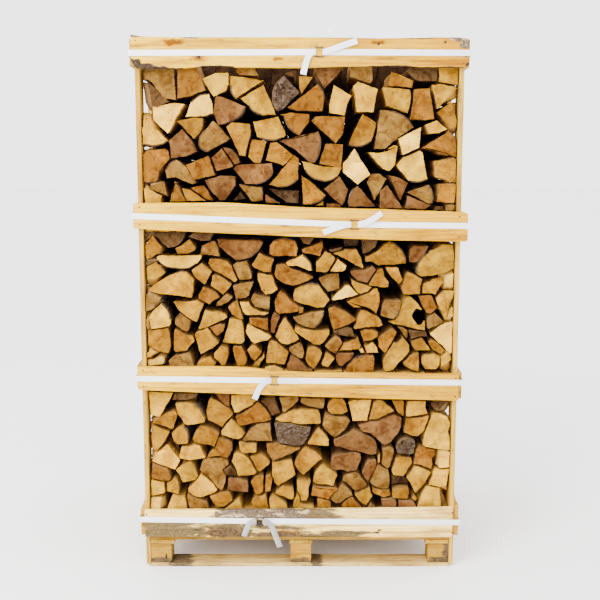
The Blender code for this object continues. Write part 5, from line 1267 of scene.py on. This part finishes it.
def nail_places():
    """Where nails hold the front, back and side boards to the posts, and the way each one looks."""
    places = []
    for level in range(1, LEVELS + 1):
        for side, sign in (("front", -1), ("back", 1)):
            node = f"{side}_board_{level}"
            low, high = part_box(node)
            face = low.y if sign < 0 else high.y
            (low_x, low_z), (high_x, high_z) = sloped_edges(node, 0, 2)
            for x in (-NAIL_X, NAIL_X):
                foot, top = np.interp(x, low_x, low_z), np.interp(x, high_x, high_z)
                for share in NAIL_SHARES:
                    places.append(((x, face - sign * NAIL_SUNK, foot + (top - foot) * share), (0, sign, 0)))
        for side, sign in (("left", -1), ("right", 1)):
            node = f"{side}_board_{level}"
            low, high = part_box(node)
            outer = sloped_edges(node, 1, 0)[0 if sign < 0 else 1]
            for post in range(1, POSTS_A_SIDE + 1):
                post_low, post_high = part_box(f"post_{side}_{post}")
                y = (post_low.y + post_high.y) / 2
                x = np.interp(y, *outer) - sign * NAIL_SUNK
                for share in NAIL_SHARES:
                    places.append(((x, y, low.z + (high.z - low.z) * share), (sign, 0, 0)))
    return places


# Straps and buckles

def smooth_route(route, steps):
    """A finer route through the same points: a smooth curve, with the width's direction turning along."""
    fine = []
    for index in range(len(route) - 1):
        (a, across_a), (b, across_b) = route[index], route[index + 1]
        before = route[index - 1][0] if index else 2 * a - b
        after = route[index + 2][0] if index + 2 < len(route) else 2 * b - a
        for step in range(steps):
            t = step / steps
            spot = (2 * a + (b - before) * t + (2 * before - 5 * a + 4 * b - after) * t ** 2
                    + (3 * a - before - 3 * b + after) * t ** 3) / 2
            fine.append((spot, across_a.lerp(across_b, t).normalized()))
    fine.append(route[-1])
    return fine


def tail_route(points, wire_x, height):
    """A tail's centre points from the buckle outward, each with the direction of its width."""
    spots = [Vector((x * MM, TAIL_Y - STRAP_TAIL_LIFT * index / len(points), z * MM))
             for index, (x, z) in enumerate(points, start=1)]
    before = [Vector((wire_x, TAIL_Y, height))] + spots[:-1]
    after = spots[1:] + [2 * spots[-1] - spots[-2]]
    route = [(before[0], Vector((0, 0, 1)))]
    for spot, last, following in zip(spots, before, after):
        along = following - last
        along.y = 0.0
        across = Vector((along.z, 0, -along.x)).normalized()
        route.append((spot, across if across.dot(route[-1][1]) > 0 else -across))
    return smooth_route(route, TAIL_STEPS)[1:]


def wire_turn(wire_x, sign, height):
    """The half turn that a strap takes round a wire of its buckle, from the tail to the board."""
    turn = []
    for step in range(TURN_STEPS + 1):
        angle = math.pi * (step / TURN_STEPS - 0.5)
        turn.append((Vector((wire_x + sign * WIRE_TURN_RADIUS * math.cos(angle),
                             WIRE_Y + WIRE_TURN_RADIUS * math.sin(angle), height)), Vector((0, 0, 1))))
    return turn


def side_places(side_x, corner):
    """The strap's way from a corner at the front along the right side to the back, as x and y."""
    corner_x = corner + STRAP_OFF
    half_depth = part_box("post_right_4")[1].y
    places = [(corner_x - STRAP_FRONT_CHAMFER, STRAP_FACE_Y),
              (corner_x, STRAP_FACE_Y + STRAP_FRONT_CHAMFER),
              (corner_x, FRONT_BOARD_BACK_Y + STRAP_CORNER_MARGIN)]
    for index in range(1 - BOW_STEPS, BOW_STEPS):
        share = index / BOW_STEPS
        places.append((side_x + SIDE_BOARD_BOW * (1 - share ** 2), half_depth * share))
    places += [(side_x, half_depth - STRAP_CORNER_MARGIN),
               (side_x, -STRAP_FACE_Y - STRAP_BACK_CHAMFER),
               (side_x - STRAP_BACK_CHAMFER, -STRAP_FACE_Y)]
    return places


def ring_route(left_z, right_z, corners):
    """The strap's way round the crate from the front's left edge by the back to its right edge."""
    side_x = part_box("post_right_1")[1].x + GAP + SIDE_BOARD_THICKNESS + STRAP_OFF
    left_corner, right_corner = corners
    places = [(-x, y) for x, y in side_places(side_x, left_corner)]
    places += reversed(side_places(side_x, right_corner))
    route = []
    for x, y in places:
        part = min(max(x / (2 * side_x) + 0.5, 0.0), 1.0)
        height = (left_z + (right_z - left_z) * part) * MM
        route.append((Vector((x, y, height)), Vector((0, 0, 1))))
    return route


def strap_route(strap, corners):
    """Centre points of a strap with the direction of its width, from one tail's end to the other's."""
    left_z, buckle_z, right_z, buckle_x, left_tail, right_tail = strap
    height = buckle_z * MM
    left_wire = buckle_x * MM - BUCKLE_WIDTH / 2
    right_wire = buckle_x * MM + BUCKLE_WIDTH / 2
    route = list(reversed(tail_route(left_tail, left_wire, height)))
    route += wire_turn(left_wire, 1, height)
    route += ring_route(left_z, right_z, corners)
    route += reversed(wire_turn(right_wire, -1, height))
    route += tail_route(right_tail, right_wire, height)
    return route


def ribbon(name, route, node, material, darkening=0.0):
    """A woven band swept along a route, a little thinner at its edges, with darker tails."""
    width, thickness = settings().straps.width, settings().straps.thickness
    section = [(share, 1) for share in RIBBON_SHARES] + [(1.0, 0)]
    section += [(-share, -1) for share in RIBBON_SHARES] + [(-1.0, 0)]
    points, places = [], []
    gone = 0.0
    for index, (spot, across) in enumerate(route):
        last = route[max(index - 1, 0)][0]
        following = route[min(index + 1, len(route) - 1)][0]
        gone += (spot - last).length
        out = (following - last).normalized().cross(across).normalized() * (thickness / 2)
        for share, side in section:
            points.append(spot + across * (width / 2 * share) + out * side)
            places.append((gone, share * width / 2, side * thickness / 2))
    count = len(section)
    faces = [list(range(count)), list(range(len(points) - 1, len(points) - count - 1, -1))]
    for near in range(0, len(points) - count, count):
        for index in range(count):
            following = (index + 1) % count
            faces.append([near + index, near + count + index, near + count + following, near + following])
    mesh = solid_mesh(name, points, faces)
    mark_points(mesh, "strap_place", "FLOAT_VECTOR", places)
    mark_points(mesh, "strap_tail_darkening", "FLOAT", [darkening if point.y < WIRE_Y else 0.0 for point in points])
    smooth_but_sharp(mesh, 50)
    return add_piece(name, mesh, material, "woven_strap", node)


def wire_loop(name, strap, node, material):
    """A buckle bent from one round wire, closed to a rectangle with small round corners."""
    radius = settings().straps.wire_radius
    centre = Vector((strap[3] * MM, WIRE_Y, strap[1] * MM))
    stations = []
    for quarter, (sign_x, sign_z) in enumerate(((1, 1), (-1, 1), (-1, -1), (1, -1))):
        corner = centre + Vector((sign_x * (BUCKLE_WIDTH / 2 - BUCKLE_CORNER_RADIUS), 0,
                                  sign_z * (BUCKLE_HEIGHT / 2 - BUCKLE_CORNER_RADIUS)))
        for step in range(WIRE_CORNER_STEPS + 1):
            angle = math.radians(90) * (quarter + step / WIRE_CORNER_STEPS)
            out = Vector((math.cos(angle), 0, math.sin(angle)))
            stations.append((corner + out * BUCKLE_CORNER_RADIUS, out))
    points, faces = [], []
    for spot, out in stations:
        for side in range(WIRE_SIDES):
            angle = math.tau * side / WIRE_SIDES
            away = out * math.cos(angle) + Vector((0, math.sin(angle), 0))
            points.append(spot + away * radius)
    for near in range(0, len(points), WIRE_SIDES):
        far = (near + WIRE_SIDES) % len(points)
        for side in range(WIRE_SIDES):
            following = (side + 1) % WIRE_SIDES
            faces.append([near + side, far + side, far + following, near + following])
    mesh = solid_mesh(name, points, faces)
    mesh.shade_smooth()
    return add_piece(name, mesh, material, "galvanised_wire", node)


# Settings that a user would change

def length_setting(name, description, default, most=1.0):
    return bpy.props.FloatProperty(name=name, description=description, default=default, min=0.0, max=most,
                                   subtype="DISTANCE", unit="LENGTH", precision=4)


def colour_setting(name, description, default):
    return bpy.props.FloatVectorProperty(name=name, description=description, default=default, size=3,
                                         subtype="COLOR", min=0.0, max=1.0)


class LogSettings(bpy.types.PropertyGroup):
    corner_wear: length_setting("Corner wear", "How much is worn off each corner of a log", 0.0012, 0.01)
    bark_ring: length_setting("Bark ring", "Width of the dark rim that bark leaves round a log's end", 0.0042, 0.02)
    rim_inset: length_setting("Rim", "Width of the worn rim round a log's end", 0.0012, 0.01)
    chamfer: length_setting("Chamfer", "How far the worn rim runs down a log's side", 0.0018, 0.01)
    bend: length_setting("Bend", "How far the middle of a log may stand off a straight line", 0.003, 0.01)
    ripple: length_setting("Ripple", "Depth of the fibres on the sides of the outer logs", 0.003, 0.01)
    ring_width: length_setting("Growth rings", "Distance between two growth rings", 0.0027, 0.02)
    end_tilt: bpy.props.FloatProperty(name="End tilt", description="Steepest slope of a sawn end",
                                      default=0.035, min=0.0, max=0.2)
    weathered_side: colour_setting("Weathered side", "Colour that split sides fade to", (0.30, 0.18, 0.075))
    bark_furrow: colour_setting("Bark furrows", "Colour in the furrows of the bark", (0.038, 0.025, 0.016))
    bark_ridge: colour_setting("Bark ridges", "Colour on the ridges of the bark", (0.12, 0.078, 0.042))
    fleck: colour_setting("Flecks", "Colour of the pale flecks on grey, weathered ends", (0.10, 0.080, 0.064))
    lichen: colour_setting("Lichen", "Colour of the pale growth on the bark", (0.15, 0.125, 0.085))
    rim_light: colour_setting("Bark rim, light", "Lighter colour of the rim of bark round an end", (0.080, 0.036, 0.012))
    rim_dark: colour_setting("Bark rim, dark", "Darker colour of the rim of bark round an end", (0.030, 0.016, 0.009))
    crack: colour_setting("Cracks", "Colour inside the drying cracks", (0.025, 0.012, 0.006))


class WoodSettings(bpy.types.PropertyGroup):
    arris: length_setting("Arris", "Width of the worn edge of a board", 0.0016, 0.01)
    saw_relief: length_setting("Saw relief", "Depth of the rough sawing", 0.0005, 0.005)
    edge_relief: length_setting("Edge relief", "How far a board's edge wanders inward", 0.0018, 0.01)
    chip_depth: length_setting("Chips", "Depth of the chips on a board's edges", 0.0045, 0.02)
    nail_radius: length_setting("Nail head", "Radius of a nail's head", 0.0036, 0.01)
    board: colour_setting("Boards", "Colour of the boards, posts and rails", (0.53, 0.31, 0.04))
    pallet: colour_setting("Pallet", "Colour of the pallet's older wood", (0.46, 0.26, 0.03))
    knot: colour_setting("Knots", "Colour of the knots", (0.13, 0.055, 0.018))
    bark_dark: colour_setting("Bark strips, dark", "Darker colour of bark left on a board", (0.06, 0.038, 0.024))
    bark_light: colour_setting("Bark strips, light", "Lighter colour of bark left on a board", (0.19, 0.135, 0.085))
    # The grey and wane colours also paint the shade marks on the boards and the skid
    grey_dark: colour_setting("Grey stains, dark", "Darker colour of the grey weathered wood", (0.032, 0.021, 0.013))
    grey_light: colour_setting("Grey stains, light", "Lighter colour of the grey weathered wood", (0.10, 0.066, 0.038))
    wane_dark: colour_setting("Wane, dark", "Darker colour of the bare rounded edges", (0.014, 0.009, 0.005))
    wane_light: colour_setting("Wane, light", "Lighter colour of the bare rounded edges", (0.070, 0.046, 0.027))
    bark_inner: colour_setting("Inner bark", "Colour where a strip of bark has peeled", (0.46, 0.34, 0.18))
    nail_light: colour_setting("Nail, light", "Lighter colour of the nail heads", (0.085, 0.065, 0.050))
    nail_dark: colour_setting("Nail, dark", "Darker colour of the nail heads", (0.030, 0.022, 0.018))


class StrapSettings(bpy.types.PropertyGroup):
    width: length_setting("Strap width", "Width of the woven straps", 0.022, 0.1)
    thickness: length_setting("Strap thickness", "Thickness of the woven straps", 0.001, 0.01)
    wire_radius: length_setting("Wire radius", "Radius of the buckles' wire", 0.002, 0.01)
    rib: length_setting("Ribs", "Distance between the ribs that run along a strap", 0.0021, 0.01)
    thread: length_setting("Threads", "Distance between the threads that cross a strap", 0.0013, 0.01)
    cord: colour_setting("Strap", "Colour of the straps", (0.93, 0.93, 0.96))
    hollow: colour_setting("Strap hollows", "Colour between the ribs of the straps", (0.78, 0.78, 0.84))
    # What the tails' colour is multiplied by, to make them darker
    darkening: colour_setting("Strap soil", "What soil leaves of the colour of the straps' tails", (0.20, 0.15, 0.12))
    zinc_light: colour_setting("Zinc, light", "Lighter colour of the buckles", (0.075, 0.070, 0.065))
    zinc_dark: colour_setting("Zinc, dark", "Darker colour of the buckles", (0.020, 0.018, 0.016))


class StageSettings(bpy.types.PropertyGroup):
    floor: colour_setting("Floor", "Colour of the floor", (0.95, 0.95, 0.95))
    floor_radius: length_setting("Floor radius", "Radius of the round floor", 60.0, 200.0)
    camera_place: bpy.props.FloatVectorProperty(name="Camera", description="Where the camera stands", size=3,
                                                default=(0.0015, -4.1, 1.59), subtype="XYZ", unit="LENGTH")
    camera_tilt: bpy.props.FloatProperty(name="Camera tilt", description="Angle of the camera above straight down",
                                         default=math.radians(81.74), subtype="ANGLE", unit="ROTATION")
    lens: bpy.props.FloatProperty(name="Lens", description="Focal length of the camera", default=57.4,
                                  min=10.0, max=200.0, unit="CAMERA")
    sky: bpy.props.FloatProperty(name="Sky", description="Strength of the white sky", default=3.5, min=0.0)
    key_power: bpy.props.FloatProperty(name="Key light", description="Power of the soft key light", default=470.0,
                                       min=0.0, unit="POWER")
    key_size: length_setting("Key size", "Side of the soft key light", 2.4, 10.0)
    key_place: bpy.props.FloatVectorProperty(name="Key place", description="Where the key light hangs", size=3,
                                             default=(-2.2, -3.6, 4.2), subtype="XYZ", unit="LENGTH")


class PalletSettings(bpy.types.PropertyGroup):
    logs: bpy.props.PointerProperty(type=LogSettings)
    wood: bpy.props.PointerProperty(type=WoodSettings)
    straps: bpy.props.PointerProperty(type=StrapSettings)
    stage: bpy.props.PointerProperty(type=StageSettings)


def settings():
    return bpy.context.scene.firewood_pallet


def finish_once(name, maker):
    """The material of that name, made the first time that it is asked for."""
    return bpy.data.materials.get(name) or maker()


# Operators

class FIREWOOD_OT_front_row(bpy.types.Operator):
    """Stack the row of logs whose ends show in front"""
    bl_idname = "firewood.front_row"
    bl_label = "Front row of logs"

    def execute(self, context):
        logs = read_logs() + hidden_logs()
        stack_row("firewood_front_row", -ROW_HALF_DEPTH, 1, logs, FRONT_ROW_LOOK, 11)
        return {"FINISHED"}


class FIREWOOD_OT_middle_row(bpy.types.Operator):
    """Stack the row of logs in the middle"""
    bl_idname = "firewood.middle_row"
    bl_label = "Middle row of logs"

    def execute(self, context):
        logs = tight_logs(read_logs() + hidden_logs(), "firewood_middle_row")
        stack_row("firewood_middle_row", -LOG_LENGTH / 2, 1, logs, MIDDLE_ROW_LOOK, 23)
        return {"FINISHED"}


class FIREWOOD_OT_back_row(bpy.types.Operator):
    """Stack the row of logs whose ends show at the back"""
    bl_idname = "firewood.back_row"
    bl_label = "Back row of logs"

    def execute(self, context):
        stack_row("firewood_back_row", ROW_HALF_DEPTH, -1, mirrored(read_logs()) + hidden_logs(), BACK_ROW_LOOK, 37)
        return {"FINISHED"}


class FIREWOOD_OT_boards(bpy.types.Operator):
    """Saw the front, back and side boards"""
    bl_idname = "firewood.boards"
    bl_label = "Boards"

    def execute(self, context):
        material = finish_once("sawn_boards", pale_board_finish)
        tone = settings().wood.board
        for level in range(1, LEVELS + 1):
            sawn_piece(f"front_board_{level}", (X, Z, Y), FRONT_SPACING, material, "pale_board",
                       FRONT_TONES[level - 1])
            sawn_piece(f"back_board_{level}", (X, Z, Y), BACK_SPACING, material, "pale_board", shaded(tone, level))
            for side in ("left", "right"):
                sawn_piece(f"{side}_board_{level}", (Y, Z, X), BACK_SPACING, material, "pale_board",
                           shaded(tone, 10 * level + len(side)))
        return {"FINISHED"}


class FIREWOOD_OT_posts(bpy.types.Operator):
    """Saw the upright posts"""
    bl_idname = "firewood.posts"
    bl_label = "Posts"

    def execute(self, context):
        material = finish_once("sawn_boards", pale_board_finish)
        for side in ("left", "right"):
            for post in range(1, POSTS_A_SIDE + 1):
                sawn_piece(f"post_{side}_{post}", (Z, Y, X), POST_SPACING, material, "pale_board",
                           shaded(settings().wood.board, 100 * post + len(side)))
        return {"FINISHED"}


class FIREWOOD_OT_pallet(bpy.types.Operator):
    """Saw the pallet's skids, blocks, rails and deck boards"""
    bl_idname = "firewood.pallet"
    bl_label = "Pallet"

    def execute(self, context):
        material = finish_once("pallet_planks", pallet_wood_finish)
        for start, axes, spacing, tint in PALLET_PIECES:
            colour = [value * share for value, share in zip(settings().wood.pallet, tint)]
            for index, node in enumerate(sorted(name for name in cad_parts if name.startswith(start))):
                sawn_piece(node, axes, spacing, material, "pallet_wood", shaded(colour, len(node) * index))
        return {"FINISHED"}


class FIREWOOD_OT_nails(bpy.types.Operator):
    """Set the nail heads of the boards"""
    bl_idname = "firewood.nails"
    bl_label = "Nails"

    def execute(self, context):
        wood = settings().wood
        points, faces = [], []
        for place, out in nail_places():
            nail_head(points, faces, place, out, wood.nail_radius)
        mesh = solid_mesh("nail_heads", points, faces)
        smooth_but_sharp(mesh, 40)
        material = dull_metal_finish("nail_steel", wood.nail_light, wood.nail_dark)
        add_piece("nail_heads", mesh, material, "galvanised_wire")
        return {"FINISHED"}


class FIREWOOD_OT_straps(bpy.types.Operator):
    """Bind the crate with its woven straps"""
    bl_idname = "firewood.straps"
    bl_label = "Straps"

    def execute(self, context):
        material = finish_once("woven_band", woven_strap_finish)
        for number, strap in enumerate(STRAPS, start=1):
            ribbon(f"strap_{number}_woven", strap_route(strap, STRAP_CORNERS[number - 1]), f"strap_{number}", material,
                   TAIL_DARKENING[number - 1])
        foot, top = (Vector((x * MM, STRAP_END_Y, z * MM)) for x, z in STRAP_END)
        along = (top - foot).normalized()
        across = Vector((along.z, 0, -along.x))
        route = [(foot.lerp(top, step / END_STEPS), across) for step in range(END_STEPS + 1)]
        ribbon("strap_end_woven", route, "strap_end", material)
        return {"FINISHED"}


class FIREWOOD_OT_buckles(bpy.types.Operator):
    """Bend the wire buckles of the straps"""
    bl_idname = "firewood.buckles"
    bl_label = "Buckles"

    def execute(self, context):
        straps = settings().straps
        material = dull_metal_finish("dull_zinc", straps.zinc_light, straps.zinc_dark)
        for number, strap in enumerate(STRAPS, start=1):
            wire_loop(f"buckle_{number}_wire", strap, f"buckle_{number}", material)
        return {"FINISHED"}


class FIREWOOD_OT_stage(bpy.types.Operator):
    """Set up the pale floor, the soft light and the camera"""
    bl_idname = "firewood.stage"
    bl_label = "Stage"

    def execute(self, context):
        stage = settings().stage
        scene = context.scene
        rim = [(stage.floor_radius * math.cos(math.tau * step / FLOOR_SIDES),
                stage.floor_radius * math.sin(math.tau * step / FLOOR_SIDES), 0.0) for step in range(FLOOR_SIDES)]
        mesh = bpy.data.meshes.new("floor")
        mesh.from_pydata(rim, [], [list(range(FLOOR_SIDES))])
        mesh.materials.append(pale_floor_finish(stage.floor))
        floor = bpy.data.objects.new("floor", mesh)
        scene.collection.objects.link(floor)
        world = bpy.data.worlds.new("white_sky")
        world.use_nodes = True
        sky = world.node_tree.nodes["Background"]
        sky.inputs["Color"].default_value = (1.0, 1.0, 1.0, 1.0)
        sky.inputs["Strength"].default_value = stage.sky
        scene.world = world
        lamp = bpy.data.lights.new("key_light", "AREA")
        lamp.size = stage.key_size
        lamp.energy = stage.key_power
        key = bpy.data.objects.new("key_light", lamp)
        key.location = stage.key_place
        towards = Vector((0, 0, 1)) - Vector(stage.key_place)
        key.rotation_euler = towards.to_track_quat("-Z", "Y").to_euler()
        scene.collection.objects.link(key)
        lens = bpy.data.cameras.new("camera")
        lens.lens = stage.lens
        camera = bpy.data.objects.new("camera", lens)
        camera.location = stage.camera_place
        camera.rotation_euler = (stage.camera_tilt, 0.0, 0.0)
        scene.collection.objects.link(camera)
        scene.camera = camera
        return {"FINISHED"}


OPERATORS = (FIREWOOD_OT_pallet, FIREWOOD_OT_posts, FIREWOOD_OT_boards, FIREWOOD_OT_nails, FIREWOOD_OT_front_row,
             FIREWOOD_OT_middle_row, FIREWOOD_OT_back_row, FIREWOOD_OT_straps, FIREWOOD_OT_buckles,
             FIREWOOD_OT_stage)


class FIREWOOD_PT_pallet(bpy.types.Panel):
    """Builds the firewood pallet piece by piece and changes its sizes and colours"""
    bl_label = "Firewood pallet"
    bl_idname = "FIREWOOD_PT_pallet"
    bl_space_type = "VIEW_3D"
    bl_region_type = "UI"
    bl_category = "Firewood"

    def draw(self, context):
        layout = self.layout
        for operator in OPERATORS:
            layout.operator(operator.bl_idname)
        groups = context.scene.firewood_pallet
        for title, group in (("Logs", groups.logs), ("Wood", groups.wood), ("Straps", groups.straps),
                             ("Stage", groups.stage)):
            box = layout.box()
            box.label(text=title)
            for name in group.bl_rna.properties.keys():
                if name not in ("rna_type", "name"):
                    box.prop(group, name)


CLASSES = (LogSettings, WoodSettings, StrapSettings, StageSettings, PalletSettings, *OPERATORS, FIREWOOD_PT_pallet)


def register():
    for item in CLASSES:
        bpy.utils.register_class(item)
    bpy.types.Scene.firewood_pallet = bpy.props.PointerProperty(type=PalletSettings)


def unregister():
    del bpy.types.Scene.firewood_pallet
    for item in reversed(CLASSES):
        bpy.utils.unregister_class(item)


def main():
    register()
    bpy.ops.firewood.pallet()
    bpy.ops.firewood.posts()
    bpy.ops.firewood.boards()
    bpy.ops.firewood.nails()
    bpy.ops.firewood.front_row()
    bpy.ops.firewood.middle_row()
    bpy.ops.firewood.back_row()
    bpy.ops.firewood.straps()
    bpy.ops.firewood.buckles()
    bpy.ops.firewood.stage()
    bpy.context.view_layer.update()


if __name__ == "__main__":
    main()
